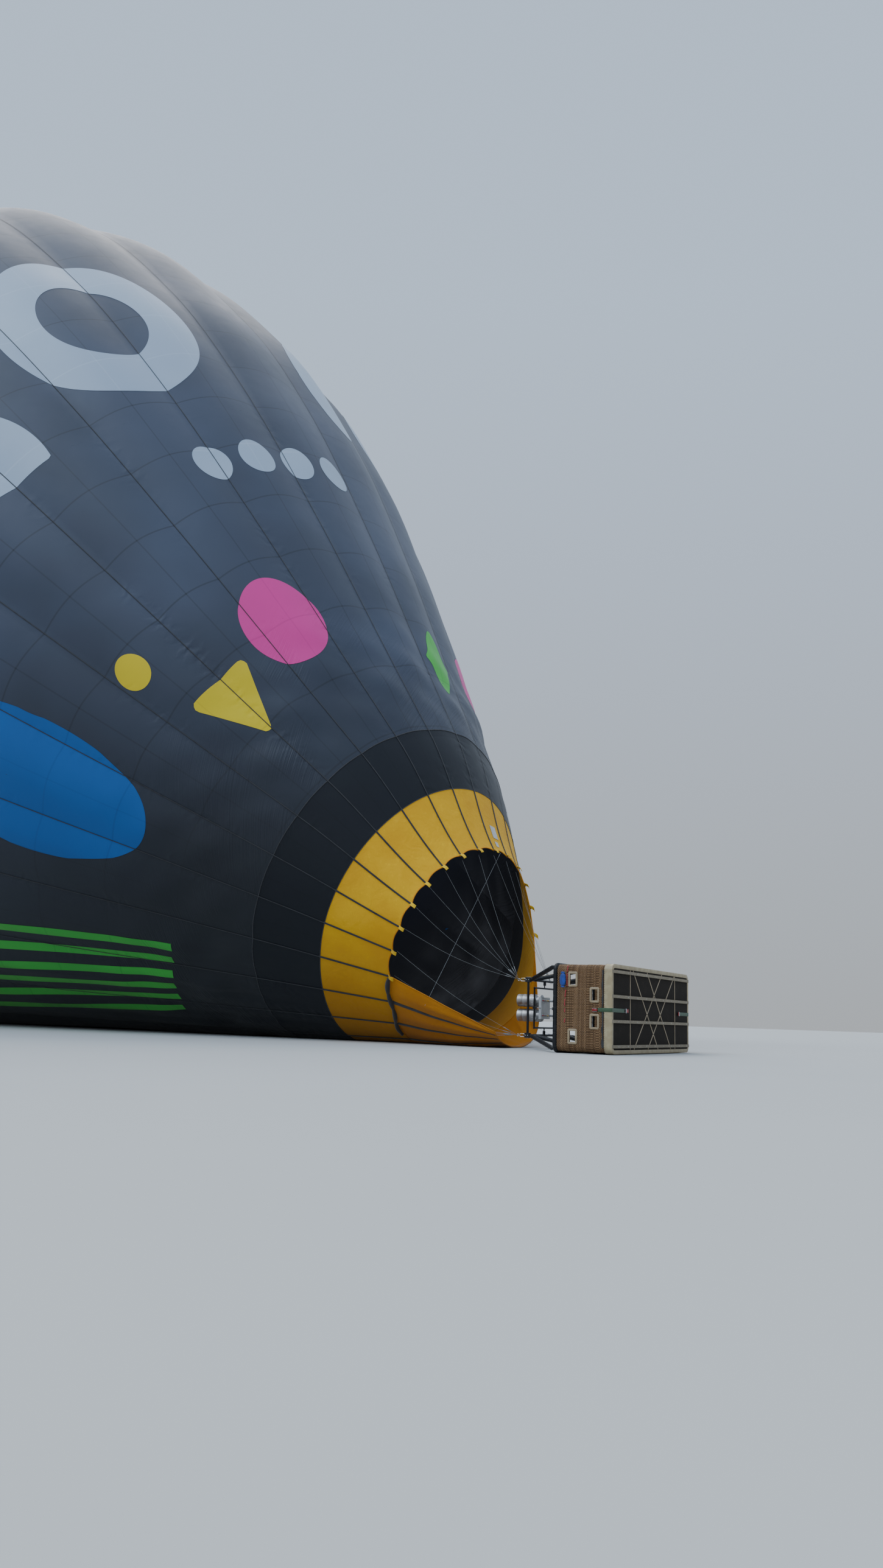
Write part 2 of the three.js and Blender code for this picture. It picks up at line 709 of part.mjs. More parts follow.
function addFuelCylinders(floorTop) {
  const profile = [
    new THREE.Vector2(0, 0),
    new THREE.Vector2(CYLINDER.radius - 20, 0),
    new THREE.Vector2(CYLINDER.radius, 30),
    new THREE.Vector2(CYLINDER.radius, CYLINDER.body),
    new THREE.Vector2(CYLINDER.radius * 0.8, CYLINDER.body + CYLINDER.dome * 0.7),
    new THREE.Vector2(CYLINDER.collar, CYLINDER.body + CYLINDER.dome),
    new THREE.Vector2(CYLINDER.collar, CYLINDER.body + CYLINDER.dome + CYLINDER.collarHeight),
    new THREE.Vector2(0, CYLINDER.body + CYLINDER.dome + CYLINDER.collarHeight),
  ];
  let k = 0;
  for (const z of [-1, 1]) {
    for (const y of [-1, 1]) {
      k += 1;
      const geometry = new THREE.LatheGeometry(profile, 20);
      geometry.rotateZ(Math.PI / 2);
      const offset = BASKET_WIDTH / 2 - WALL - CYLINDER.radius - CYLINDER.gap;
      geometry.translate(-floorTop - TOUCH, y * CYLINDER.reach, MIDDLE_Z + z * offset);
      add(`fuel_cylinder_${k}`, closeSeams(geometry), aluminium);
    }
  }
}

function closeSeams(geometry) {
  geometry.deleteAttribute('normal');
  geometry.deleteAttribute('uv');
  return mergeVertices(geometry, 1e-3);
}

// A pouch hangs on the near end wall, just under the rim.
const POUCH = { low: 940, high: 1060, deep: 70, from: 370, to: 650 };

function addPouch() {
  const y = -BASKET_LENGTH / 2 - TOUCH;
  const z = [MIDDLE_Z + POUCH.from, MIDDLE_Z + POUCH.to];
  add('rim_pouch', boxBetween([-POUCH.high, -POUCH.low], [y - POUCH.deep, y], z), blueNylon);
}

// Load frame: four tubes and four corner blocks, each block with a lug that carries a karabiner.
const LUG = { reach: 46, thick: 14, wide: 60, hole: 15, edge: 12 };
const BOSS = { wall: 14, length: 90, bottom: 40 };

function corner(sy, sz) {
  return new THREE.Vector3(FRAME_X, sy * FRAME_LENGTH / 2, MIDDLE_Z + sz * FRAME_WIDTH / 2);
}

const CORNERS = [
  { sy: -1, sz: 1 },
  { sy: -1, sz: -1 },
  { sy: 1, sz: -1 },
  { sy: 1, sz: 1 },
];

function addLoadFrame() {
  const pieces = [];
  const cuts = [];
  CORNERS.forEach(({ sy, sz }, i) => {
    const next = CORNERS[(i + 1) % CORNERS.length];
    pieces.push(bar(corner(sy, sz), corner(next.sy, next.sz), FRAME_TUBE));
    const block = new THREE.BoxGeometry(CORNER_BLOCK, CORNER_BLOCK, CORNER_BLOCK);
    const at = corner(sy, sz);
    pieces.push(block.translate(at.x, at.y, at.z));
    const lugX = at.x - CORNER_BLOCK / 2;
    pieces.push(boxBetween(
      [lugX - LUG.reach, lugX + 10],
      [at.y - LUG.wide / 2, at.y + LUG.wide / 2],
      [at.z - LUG.thick / 2, at.z + LUG.thick / 2],
    ));
    cuts.push(bar(lugPoint(sy, sz, -60), lugPoint(sy, sz, 60), LUG.hole, 12));
  });
  for (const sz of [-1, 1]) {
    const boss = new THREE.Vector3(FRAME_X, 0, MIDDLE_Z + sz * FRAME_WIDTH / 2);
    const end = boss.clone().setZ(boss.z - sz * BOSS.length);
    const bottom = boss.clone().setZ(boss.z - sz * BOSS.bottom);
    pieces.push(bar(boss, end, PIVOT_BORE + BOSS.wall, 16));
    cuts.push(bar(bottom, end.clone().setZ(end.z - sz * 10), PIVOT_BORE, 16));
  }
  add('load_frame', join(pieces, cuts), steel);
}

function lugPoint(sy, sz, lift) {
  const at = corner(sy, sz);
  return new THREE.Vector3(at.x - CORNER_BLOCK / 2 - LUG.reach + LUG.hole + LUG.edge, at.y, at.z + lift);
}

// Gimbal frame: turns on two pins along z, and carries the burner on two pins along y.
function addGimbal() {
  const halfY = GIMBAL_LENGTH / 2;
  const halfZ = GIMBAL_WIDTH / 2;
  const at = (y, z) => new THREE.Vector3(FRAME_X, y, MIDDLE_Z + z);
  const round = GIMBAL_TUBE;
  const pieces = [
    bar(at(-halfY, halfZ), at(halfY, halfZ), round),
    bar(at(-halfY, -halfZ), at(halfY, -halfZ), round),
    bar(at(-halfY, -halfZ), at(-halfY, halfZ), round),
    bar(at(halfY, -halfZ), at(halfY, halfZ), round),
  ];
  const cuts = [];
  for (const y of [-1, 1]) {
    for (const z of [-1, 1]) {
      const ball = new THREE.SphereGeometry(round * 1.3, 8, 6);
      pieces.push(ball.translate(FRAME_X, y * halfY, MIDDLE_Z + z * halfZ));
    }
  }
  for (const side of [-1, 1]) {
    const pinEnd = FRAME_WIDTH / 2 - BOSS.bottom - 15;
    pieces.push(bar(at(0, side * (halfZ - 10)), at(0, side * pinEnd), PIVOT_PIN, 16));
    pieces.push(bar(at(side * (halfY + 20), 0), at(side * (halfY - 70), 0), PIVOT_BORE + BOSS.wall, 16));
    cuts.push(bar(at(side * (halfY - 10), 0), at(side * (halfY - 80), 0), PIVOT_BORE, 16));
  }
  add('gimbal_frame', join(pieces, cuts), steel);
}

// Burner: a manifold block with two pins, and four burner cans that open towards the mouth.
const PAD = { half: 70, thick: 56 };
const STEM = { from: 10, to: 130, radius: 22 };
const LEVER = { from: 110, to: 124, half: 14, reach: 120 };

function addBurner() {
  const plate = (CAN_SPACING + CAN_RADIUS) / 2;
  const thick = [FRAME_X - BURNER_PLATE / 2, FRAME_X + BURNER_PLATE / 2];
  const pieces = [
    boxBetween(thick, [-plate, plate], [MIDDLE_Z - ARM_HALF, MIDDLE_Z + ARM_HALF]),
    boxBetween(thick, [-ARM_HALF, ARM_HALF], [MIDDLE_Z - plate, MIDDLE_Z + plate]),
  ];
  for (const y of [-1, 1]) {
    const reach = GIMBAL_LENGTH / 2 - 20;
    pieces.push(bar(
      new THREE.Vector3(FRAME_X, y * 100, MIDDLE_Z),
      new THREE.Vector3(FRAME_X, y * reach, MIDDLE_Z),
      PIVOT_PIN,
      16,
    ));
    for (const z of [-1, 1]) {
      const cy = y * CAN_SPACING / 2;
      const cz = MIDDLE_Z + z * CAN_SPACING / 2;
      pieces.push(boxBetween(
        [FRAME_X - PAD.thick / 2, FRAME_X + PAD.thick / 2],
        [cy - PAD.half, cy + PAD.half],
        [cz - PAD.half, cz + PAD.half],
      ));
      pieces.push(bar(
        new THREE.Vector3(FRAME_X + STEM.from, cy, cz),
        new THREE.Vector3(FRAME_X + STEM.to, cy, cz),
        STEM.radius,
        12,
      ));
      pieces.push(boxBetween(
        [FRAME_X + LEVER.from, FRAME_X + LEVER.to],
        [cy - LEVER.half, cy + y * LEVER.reach],
        [cz - LEVER.half, cz + LEVER.half],
      ));
    }
  }
  add('burner_block', join(pieces), steel);
  let k = 0;
  for (const y of [-1, 1]) {
    for (const z of [-1, 1]) {
      k += 1;
      const geometry = new THREE.LatheGeometry(canProfile(), 20);
      geometry.rotateZ(Math.PI / 2);
      const back = FRAME_X - BURNER_PLATE / 2 - TOUCH;
      geometry.translate(back, y * CAN_SPACING / 2, MIDDLE_Z + z * CAN_SPACING / 2);
      add(`burner_can_${k}`, closeSeams(geometry), steel);
    }
  }
}

function canProfile() {
  const r = CAN_RADIUS;
  return [
    new THREE.Vector2(0, 0),
    new THREE.Vector2(r * 0.5, 0),
    new THREE.Vector2(r * 0.5, 60),
    new THREE.Vector2(r, 90),
    new THREE.Vector2(r, CAN_LENGTH),
    new THREE.Vector2(r - CAN_WALL, CAN_LENGTH),
    new THREE.Vector2(r - CAN_WALL, 96),
    new THREE.Vector2(r * 0.5 - CAN_WALL, 68),
    new THREE.Vector2(0, 68),
  ];
}

// Uprights: padded poles from the rim to the load frame, two at each corner.
function addUprights() {
  const rimX = -RIM_HEIGHT - 2 * RIM_PAD_RADIUS - UPRIGHT_RADIUS;
  const rimZ = BASKET_WIDTH / 2 - WALL / 2 - 30;
  let k = 0;
  for (const { sy, sz } of CORNERS) {
    const head = corner(sy, sz);
    for (const { rimY, headY } of [{ rimY: 2130, headY: 30 }, { rimY: 700, headY: -46 }]) {
      k += 1;
      const foot = new THREE.Vector3(rimX, sy * rimY, MIDDLE_Z + sz * rimZ);
      const top = head.clone().setX(head.x + CORNER_BLOCK / 2 + UPRIGHT_RADIUS);
      top.y = sy * (FRAME_LENGTH / 2 + headY);
      add(`upright_${k}`, bar(foot, top, UPRIGHT_RADIUS, 10), blackLeather);
    }
  }
}

// Karabiners: a long link through each lug.
const KARABINER = { half: 40, straight: 56, rod: 7, bend: 28, slack: 4 };

function addKarabiners() {
  CORNERS.forEach(({ sy, sz }, i) => {
    const lug = lugPoint(sy, sz, 0);
    const centre = lug.clone().setX(lug.x + KARABINER.slack - KARABINER.straight / 2 - KARABINER.bend);
    const rows = [];
    for (let n = 0; n < 16; n += 1) {
      const turn = (n / 16) * 2 * Math.PI + Math.PI / 16;
      const out = new THREE.Vector3(Math.cos(turn), 0, Math.sin(turn));
      const middle = centre.clone().addScaledVector(out, KARABINER.bend);
      middle.x += Math.sign(Math.cos(turn)) * KARABINER.straight / 2;
      const row = [];
      for (let j = 0; j < 8; j += 1) {
        const a = (j / 8) * 2 * Math.PI;
        row.push(middle.clone()
          .addScaledVector(out, KARABINER.rod * Math.cos(a))
          .add(new THREE.Vector3(0, KARABINER.rod * Math.sin(a), 0)));
      }
      rows.push(row);
    }
    add(`karabiner_${i + 1}`, wrapRows(rows), steel);
  });
}

// Flying wires: six from each quarter of the mouth, gathered in a thimble ring at a karabiner.
const WIRE_INSET = 70;
const WIRES_PER_CORNER = 6;
const THIMBLE = { radius: 22, gap: 10 };
const WIRE_QUARTERS = [
  { first: 7, corner: 0 },
  { first: 13, corner: 1 },
  { first: 19, corner: 2 },
  { first: 1, corner: 3 },
];
const SCOOP_WIRES_FROM = 19;

// The tapes of the far lower quarter run on over the scoop, so their wires start at its open end.
function wireStart(tape) {
  if (tape >= SCOOP_WIRES_FROM) {
    const t = ((tape / GORES) * 2 * Math.PI - SCOOP_FROM) / (SCOOP_TO - SCOOP_FROM);
    return scoopTip(t).addScaledVector(scoopInward(t), 4).setX(SCOOP_NEAR_TIP.x + 20);
  }
  const tab = surfacePoint(-30, (tape / GORES) * 2 * Math.PI);
  return tab.add(MOUTH_CENTRE.clone().sub(tab).setLength(WIRE_INSET));
}

function addFlyingWires() {
  WIRE_QUARTERS.forEach(({ first, corner: c }, i) => {
    const { sy, sz } = CORNERS[c];
    const lug = lugPoint(sy, sz, 0);
    const gather = lug.clone().setX(lug.x - KARABINER.straight - 2 * KARABINER.half - THIMBLE.gap);
    const ring = new THREE.SphereGeometry(THIMBLE.radius, 12, 8);
    const pieces = [ring.translate(gather.x, gather.y, gather.z)];
    for (let k = 0; k < WIRES_PER_CORNER; k += 1) {
      pieces.push(bar(gather, wireStart(first + k), WIRE_RADIUS, 6));
    }
    add(`flying_wires_${i + 1}`, join(pieces), wireSteel);
  });
}

addEnvelope();
addScoop();
addCrown();
addBasket();
addLoadFrame();
addGimbal();
addBurner();
addUprights();
addKarabiners();
addFlyingWires();

const liftPoint = MOUTH_CENTRE.clone().addScaledVector(axis, LIFT_POINT_ALONG);
balloon.position.copy(liftPoint).negate();

export default balloon;
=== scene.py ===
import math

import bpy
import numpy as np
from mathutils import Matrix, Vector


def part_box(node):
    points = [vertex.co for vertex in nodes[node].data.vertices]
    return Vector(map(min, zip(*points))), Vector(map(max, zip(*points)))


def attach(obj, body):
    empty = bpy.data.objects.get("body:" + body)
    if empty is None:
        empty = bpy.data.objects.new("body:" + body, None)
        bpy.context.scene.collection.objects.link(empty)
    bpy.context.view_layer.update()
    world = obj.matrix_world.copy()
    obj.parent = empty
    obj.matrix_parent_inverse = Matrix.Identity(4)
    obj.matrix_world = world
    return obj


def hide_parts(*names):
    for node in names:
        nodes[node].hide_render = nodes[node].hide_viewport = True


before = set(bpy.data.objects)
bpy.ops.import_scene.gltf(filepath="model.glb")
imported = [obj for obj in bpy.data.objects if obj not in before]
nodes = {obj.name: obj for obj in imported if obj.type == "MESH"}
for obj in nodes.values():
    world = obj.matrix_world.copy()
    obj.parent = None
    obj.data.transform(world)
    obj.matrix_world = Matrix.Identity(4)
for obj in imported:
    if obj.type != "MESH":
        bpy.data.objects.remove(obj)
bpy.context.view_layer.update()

# %% [markdown]
# # A hot air balloon on its side
# The balloon lies on the ground while warm air fills it: a big bag of coated
# cloth, a square frame with four burners, and a wicker basket on its long side.
# The line above brought in the solid model as a fixed frame, in metres, with up as +Z.
# Everything below only dresses that frame. The libraries come first: `bpy` is
# Blender itself, and `numpy` moves thousands of points at once.

# %% [markdown]
# The solid model was first drawn in a "ground frame": x runs down through the
# basket's floor, y along the basket, z up, with z = 0 on the ground. It was then
# moved so that its origin is where the lift acts. One vector brings a point from
# the ground frame to the model, so the sizes below read like a tape measure's.

# %% From the ground frame to the model
TO_MODEL = np.array((20.97017, -2.22702, -12.40324))
BASKET_MIDDLE = 0.826
X_AXIS, Y_AXIS, Z_AXIS = np.eye(3)


def placed(points):
    return np.asarray(points, dtype=float) + TO_MODEL


print("basket's floor corner", placed((0.0, -2.24, 0.026)).round(3))

# %% [markdown]
# The camera stands low, 0.57 m over the floor, and looks 11 degrees upwards with
# a slight roll. A camera can be aimed by a Track To constraint, but roll is easier
# to see when its three axes are written down: right, up, and backwards.

# %% Camera
EYE = placed((7.861, -22.761, 0.57))
PITCH = math.radians(11.2)
ROLL = math.radians(1.9)
LENS = 27.056


def seen_to_ground(right, forward, up):
    return np.array((0.8704 * right - 0.4924 * forward, 0.4924 * right + 0.8704 * forward, up))


sideways = seen_to_ground(1.0, 0.0, 0.0)
forwards = seen_to_ground(0.0, math.cos(PITCH), math.sin(PITCH))
upwards = seen_to_ground(0.0, -math.sin(PITCH), math.cos(PITCH))
camera_right = math.cos(ROLL) * sideways + math.sin(ROLL) * upwards
camera_up = -math.sin(ROLL) * sideways + math.cos(ROLL) * upwards
camera_data = bpy.data.cameras.new("camera")
camera_data.sensor_width = 36.0
camera_data.lens = LENS
camera_data.clip_start = 0.1
camera_data.clip_end = 2000.0
camera = bpy.data.objects.new("camera", camera_data)
bpy.context.scene.collection.objects.link(camera)
pose = np.eye(4)
pose[:3, 0] = camera_right
pose[:3, 1] = camera_up
pose[:3, 2] = -forwards
pose[:3, 3] = EYE
camera.matrix_world = Matrix(pose.tolist())
bpy.context.scene.camera = camera
print("camera at", EYE.round(3), "lens", LENS, "mm")

# %% [markdown]
# ## Talking to the shader in sums
# A finish is a small network of nodes, and most of that network is arithmetic.
# The class below lets a line such as `grain * 0.5 + 0.2` make the Math nodes, so
# that a material reads like a recipe and not like wiring.

# %% A field: one socket that can be added and multiplied
class Field:
    def __init__(self, tree, socket):
        self.tree = tree
        self.socket = socket

    def sum_node(self, operation, *others):
        node = self.tree.nodes.new("ShaderNodeMath")
        node.operation = operation
        for slot_number, value in enumerate((self, *others)):
            if isinstance(value, Field):
                self.tree.links.new(value.socket, node.inputs[slot_number])
            else:
                node.inputs[slot_number].default_value = value
        return Field(self.tree, node.outputs[0])

    def __add__(self, other):
        return self.sum_node("ADD", other)

    def __sub__(self, other):
        return self.sum_node("SUBTRACT", other)

    def __mul__(self, other):
        return self.sum_node("MULTIPLY", other)

    def absolute(self):
        return self.sum_node("ABSOLUTE")

    def sine(self):
        return self.sum_node("SINE")

    def from_nearest_whole(self):
        return (self + 0.5).sum_node("FRACT").sum_node("SUBTRACT", 0.5).absolute()

    def fade(self, near, far):
        """1 below near, 0 above far."""
        node = self.tree.nodes.new("ShaderNodeMapRange")
        node.inputs["From Min"].default_value = near
        node.inputs["From Max"].default_value = far
        node.inputs["To Min"].default_value = 1.0
        node.inputs["To Max"].default_value = 0.0
        self.tree.links.new(self.socket, node.inputs["Value"])
        return Field(self.tree, node.outputs["Result"])


print("fields ready")

# %% [markdown]
# Every finish starts from the same Principled shader. `Finish` keeps that shader,
# its node tree, and short calls for what the finishes share: a noise in the
# object's own metres, a number stored in the mesh, a mix of two colours, a bump.

# %% A finish and its usual ingredients
class Finish:
    def __init__(self, name, color, roughness, metallic=0.0, sheen=0.0, coat=0.0):
        self.material = bpy.data.materials.new(name)
        self.material.use_nodes = True
        self.tree = self.material.node_tree
        self.shader = self.tree.nodes["Principled BSDF"]
        self.color = (*color, 1.0)
        self.shader.inputs["Base Color"].default_value = self.color
        self.shader.inputs["Roughness"].default_value = roughness
        self.shader.inputs["Metallic"].default_value = metallic
        self.shader.inputs["Sheen Weight"].default_value = sheen
        self.shader.inputs["Coat Weight"].default_value = coat

    def position(self, stretch=(1.0, 1.0, 1.0)):
        place = self.tree.nodes.new("ShaderNodeTexCoord")
        mapping = self.tree.nodes.new("ShaderNodeMapping")
        mapping.inputs["Scale"].default_value = stretch
        self.tree.links.new(place.outputs["Object"], mapping.inputs["Vector"])
        return mapping.outputs["Vector"]

    def noise(self, scale, detail=3.0, stretch=(1.0, 1.0, 1.0), twist=0.0):
        node = self.tree.nodes.new("ShaderNodeTexNoise")
        node.inputs["Scale"].default_value = scale
        node.inputs["Detail"].default_value = detail
        node.inputs["Distortion"].default_value = twist
        self.tree.links.new(self.position(stretch), node.inputs["Vector"])
        return Field(self.tree, node.outputs["Fac"])

    def noise_on(self, across, along, detail=2.0):
        """Noise on two numbers of the mesh, so that its grain follows the cloth."""
        pair = self.tree.nodes.new("ShaderNodeCombineXYZ")
        self.tree.links.new(across.socket, pair.inputs[0])
        self.tree.links.new(along.socket, pair.inputs[1])
        node = self.tree.nodes.new("ShaderNodeTexNoise")
        node.inputs["Scale"].default_value = 1.0
        node.inputs["Detail"].default_value = detail
        self.tree.links.new(pair.outputs[0], node.inputs["Vector"])
        return Field(self.tree, node.outputs["Fac"])

    def stored(self, name):
        node = self.tree.nodes.new("ShaderNodeAttribute")
        node.attribute_name = name
        return Field(self.tree, node.outputs["Fac"])

    def axis_value(self, axis_name, scale=1.0):
        node = self.tree.nodes.new("ShaderNodeSeparateXYZ")
        self.tree.links.new(self.position((scale, scale, scale)), node.inputs[0])
        return Field(self.tree, node.outputs[axis_name])

    def height(self):
        """Height over the ground, in metres."""
        return self.axis_value("Z") - float(TO_MODEL[2])

    def paint(self, amount, color):
        """Mixes a colour into the base colour where amount is 1."""
        node = self.tree.nodes.new("ShaderNodeMix")
        node.data_type = "RGBA"
        node.inputs[7].default_value = (*color, 1.0)
        base = self.shader.inputs["Base Color"]
        if base.is_linked:
            self.tree.links.new(base.links[0].from_socket, node.inputs[6])
        else:
            node.inputs[6].default_value = self.color
        self.tree.links.new(amount.socket, node.inputs[0])
        self.tree.links.new(node.outputs[2], base)

    def roughness(self, amount):
        self.tree.links.new(amount.socket, self.shader.inputs["Roughness"])

    def bump(self, height, distance, strength=1.0):
        node = self.tree.nodes.new("ShaderNodeBump")
        node.inputs["Strength"].default_value = strength
        node.inputs["Distance"].default_value = distance
        self.tree.links.new(height.socket, node.inputs["Height"])
        normal = self.shader.inputs["Normal"]
        if normal.is_linked:
            self.tree.links.new(normal.links[0].from_socket, node.inputs["Normal"])
        self.tree.links.new(node.outputs["Normal"], normal)


print("finishes ready")

# %% [markdown]
# ## The cloths
# Balloon cloth is a thin coated ripstop nylon. From far away three things show:
# seams that cross each gore every 1.4 m or so, one seam down its middle, and
# small puckers where the load tapes gather the cloth. A photograph could be used
# as a texture, but the seams follow the gores exactly, so they are computed from
# three numbers stored in the mesh: `along` the axis, `gore`, and the gore's `breadth`.

# %% Balloon cloth in several colours
PANEL = 1.42
SEAM_HALF = 0.012
BAND_END = 2.75


def balloon_cloth(name, color, seam_and_shade_color, shine=0.5, gleam=0.3, crinkle=0.035, low_painted_shade=0.15):
    cloth = Finish(name, color, shine, sheen=0.08)
    cloth.shader.inputs["Specular IOR Level"].default_value = gleam
    along = cloth.stored("along")
    gore = cloth.stored("gore")
    breadth = cloth.stored("breadth")
    to_tape = gore.from_nearest_whole() * breadth
    to_middle = (gore + 0.5).from_nearest_whole() * breadth
    to_row = (along * (1.0 / PANEL)).from_nearest_whole() * PANEL
    tone = cloth.noise(0.35, 2.0)
    cloth.paint(tone.fade(0.62, 0.38) * 0.3, seam_and_shade_color)
    seams = to_row.fade(SEAM_HALF, SEAM_HALF * 1.6)
    middle_seam = to_middle.fade(SEAM_HALF, SEAM_HALF * 1.6)
    cloth.paint(seams * 0.4 + middle_seam * 0.3, seam_and_shade_color)
    # Painted shade: the cloth is mixed towards its seam colour low over the ground, and more so low down
    # near the mouth.
    cloth.paint(cloth.height().fade(1.5, 8.8) * low_painted_shade, seam_and_shade_color)
    cloth.paint(cloth.height().fade(3.0, 9.5) * along.fade(4.0, 10.0) * low_painted_shade, seam_and_shade_color)
    patches = cloth.noise(0.55, 2.0).fade(0.62, 0.42)
    near_tape = to_tape.fade(0.02, 0.5)
    ripples = (along * 17.0 + cloth.noise(1.7, 3.0) * 22.0).sine()
    cross_pucker = ripples * near_tape * near_tape * along.fade(6.0, 14.0) * patches
    gathered = cloth.noise_on(gore * breadth * 13.0 + along * 7.0, along * 1.1, 2.0)
    above_band = along.fade(3.0, 6.5) * along.fade(BAND_END, 2.6)
    gathers = gathered * above_band * cloth.noise(0.5, 2.0).fade(0.58, 0.46)
    threads = cloth.noise_on(gore * breadth * 9.0, along * 1.6, 3.0)
    slack = cloth.noise(0.7, 3.0, twist=0.8)
    cloth.bump(cross_pucker * 0.5 + gathers * 2.2 + threads * crinkle + slack * 0.8, 0.016, 0.6)
    cloth.roughness(cloth.noise(3.0, 2.0) * 0.12 + (shine - 0.06))
    return cloth.material


slate_cloth = balloon_cloth("slate_cloth", (0.053, 0.066, 0.103), (0.012, 0.0135, 0.017), 0.5, low_painted_shade=0.88)
black_cloth = balloon_cloth("black_cloth", (0.0075, 0.0095, 0.0145), (0.004, 0.005, 0.007), 0.5, 0.25)
pale_cloth = balloon_cloth("pale_cloth", (0.31, 0.39, 0.50), (0.42, 0.50, 0.60), 0.45, 0.4)
pink_cloth = balloon_cloth("pink_cloth", (0.70, 0.045, 0.29), (0.48, 0.03, 0.20), 0.5, 0.3, 0.10)
yellow_cloth = balloon_cloth("yellow_cloth", (0.66, 0.50, 0.012), (0.46, 0.33, 0.01), 0.5, 0.3, 0.16)
blue_cloth = balloon_cloth("blue_cloth", (0.002, 0.105, 0.36), (0.001, 0.06, 0.22), 0.5, 0.3, 0.14)
green_cloth = balloon_cloth("green_cloth", (0.060, 0.46, 0.050), (0.025, 0.27, 0.03), 0.5, 0.3, 0.10)
print("cloths", [m.name for m in (slate_cloth, black_cloth, pale_cloth, pink_cloth)])

# %% [markdown]
# The mouth and the scoop take the heat, so they are a heavier, matt, heat-proof
# weave in orange yellow. It creases in long soft folds and has a visible grid of
# threads. Its lower gores are painted browner and darker towards the ground, as
# painted shade. Load tapes are flat woven black webbing with a fine rib.

# %% Heat-proof skirt cloth, and webbing
def skirt_weave(name, color, shade, low):
    cloth = Finish(name, color, 0.78, sheen=0.06)
    cloth.shader.inputs["Specular IOR Level"].default_value = 0.2
    cloth.paint(cloth.noise(1.3, 3.0).fade(0.66, 0.36) * 0.55, shade)
    cloth.paint(cloth.noise(14.0, 4.0).fade(0.42, 0.3) * 0.3, shade)
    # Painted shade: up to about 2.7 m over the ground the cloth is mixed towards its third, darker colour.
    cloth.paint(cloth.height().fade(0.5, 2.7) * 0.8, low)
    threads = (cloth.axis_value("Y") * 900.0).sine() + (cloth.axis_value("Z") * 900.0).sine()
    cloth.bump(threads, 0.0008, 0.3)
    folds = cloth.noise(2.6, 3.0, twist=1.4)
    fine = cloth.noise(11.0, 3.0, twist=0.8)
    cloth.bump(folds + fine * 0.22, 0.03, 0.55)
    return cloth.material


skirt_cloth = skirt_weave("skirt_cloth", (0.82, 0.46, 0.014), (0.62, 0.29, 0.010), (0.36, 0.135, 0.008))
scoop_cloth = skirt_weave("scoop_cloth", (0.74, 0.31, 0.010), (0.50, 0.17, 0.006), (0.34, 0.115, 0.007))
tab_cloth = skirt_weave("tab_cloth", (0.82, 0.52, 0.02), (0.6, 0.34, 0.02), (0.5, 0.27, 0.02))


def webbing_weave(name, color, light):
    tape = Finish(name, color, 0.72, sheen=0.2)
    rib = (tape.stored("along") * 700.0).sine()
    tape.paint(tape.noise(7.0, 3.0).fade(0.5, 0.35) * 0.5, light)
    tape.bump(rib, 0.0006, 0.5)
    return tape.material


red_webbing = webbing_weave("red_webbing", (0.30, 0.012, 0.016), (0.42, 0.05, 0.05))
label_cloth = webbing_weave("label_cloth", (0.50, 0.52, 0.53), (0.36, 0.38, 0.40))
black_webbing = webbing_weave("black_webbing", (0.010, 0.010, 0.012), (0.03, 0.03, 0.035))
green_webbing = webbing_weave("green_webbing", (0.022, 0.062, 0.024), (0.045, 0.085, 0.038))
print("skirt cloth and webbing ready")

# %% [markdown]
# ## Hard finishes
# Brushed stainless steel gets fine scratches along one axis, and slight
# discolouring. Wire rope is steel with a twist of strands. Aluminium cylinders
# are satin, with dull handling marks.

# %% Metals
def brushed_metal(name, color, rough, dull, stretch):
    metal = Finish(name, color, rough, metallic=1.0)
    streaks = metal.noise(34.0, 5.0, stretch)
    metal.roughness(streaks * 0.25 + (rough - 0.1))
    metal.paint(metal.noise(3.5, 4.0).fade(0.62, 0.4) * 0.4, dull)
    metal.bump(streaks, 0.0006, 0.35)
    return metal.material


dark_steel = brushed_metal("dark_steel", (0.045, 0.045, 0.048), 0.45, (0.020, 0.020, 0.022), (1.0, 9.0, 9.0))
steel = brushed_metal("steel", (0.52, 0.53, 0.54), 0.36, (0.30, 0.29, 0.28), (1.0, 9.0, 9.0))
can_steel = brushed_metal("can_steel", (0.46, 0.45, 0.44), 0.42, (0.20, 0.15, 0.13), (6.0, 1.0, 1.0))
brass = brushed_metal("brass", (0.62, 0.42, 0.16), 0.38, (0.35, 0.22, 0.08), (1.0, 5.0, 5.0))
aluminium = brushed_metal("aluminium", (0.56, 0.57, 0.59), 0.42, (0.36, 0.37, 0.39), (1.0, 6.0, 6.0))


def wire_rope():
    rope = Finish("wire_rope", (0.25, 0.25, 0.245), 0.5, metallic=0.3)
    strands = (rope.axis_value("X") * 520.0 + rope.axis_value("Y") * 520.0).sine()
    rope.bump(strands, 0.001, 0.6)
    rope.paint(rope.noise(5.0, 2.0).fade(0.35, 0.5) * 0.5, (0.20, 0.20, 0.20))
    return rope.material


wire_steel = wire_rope()
print("metals ready")
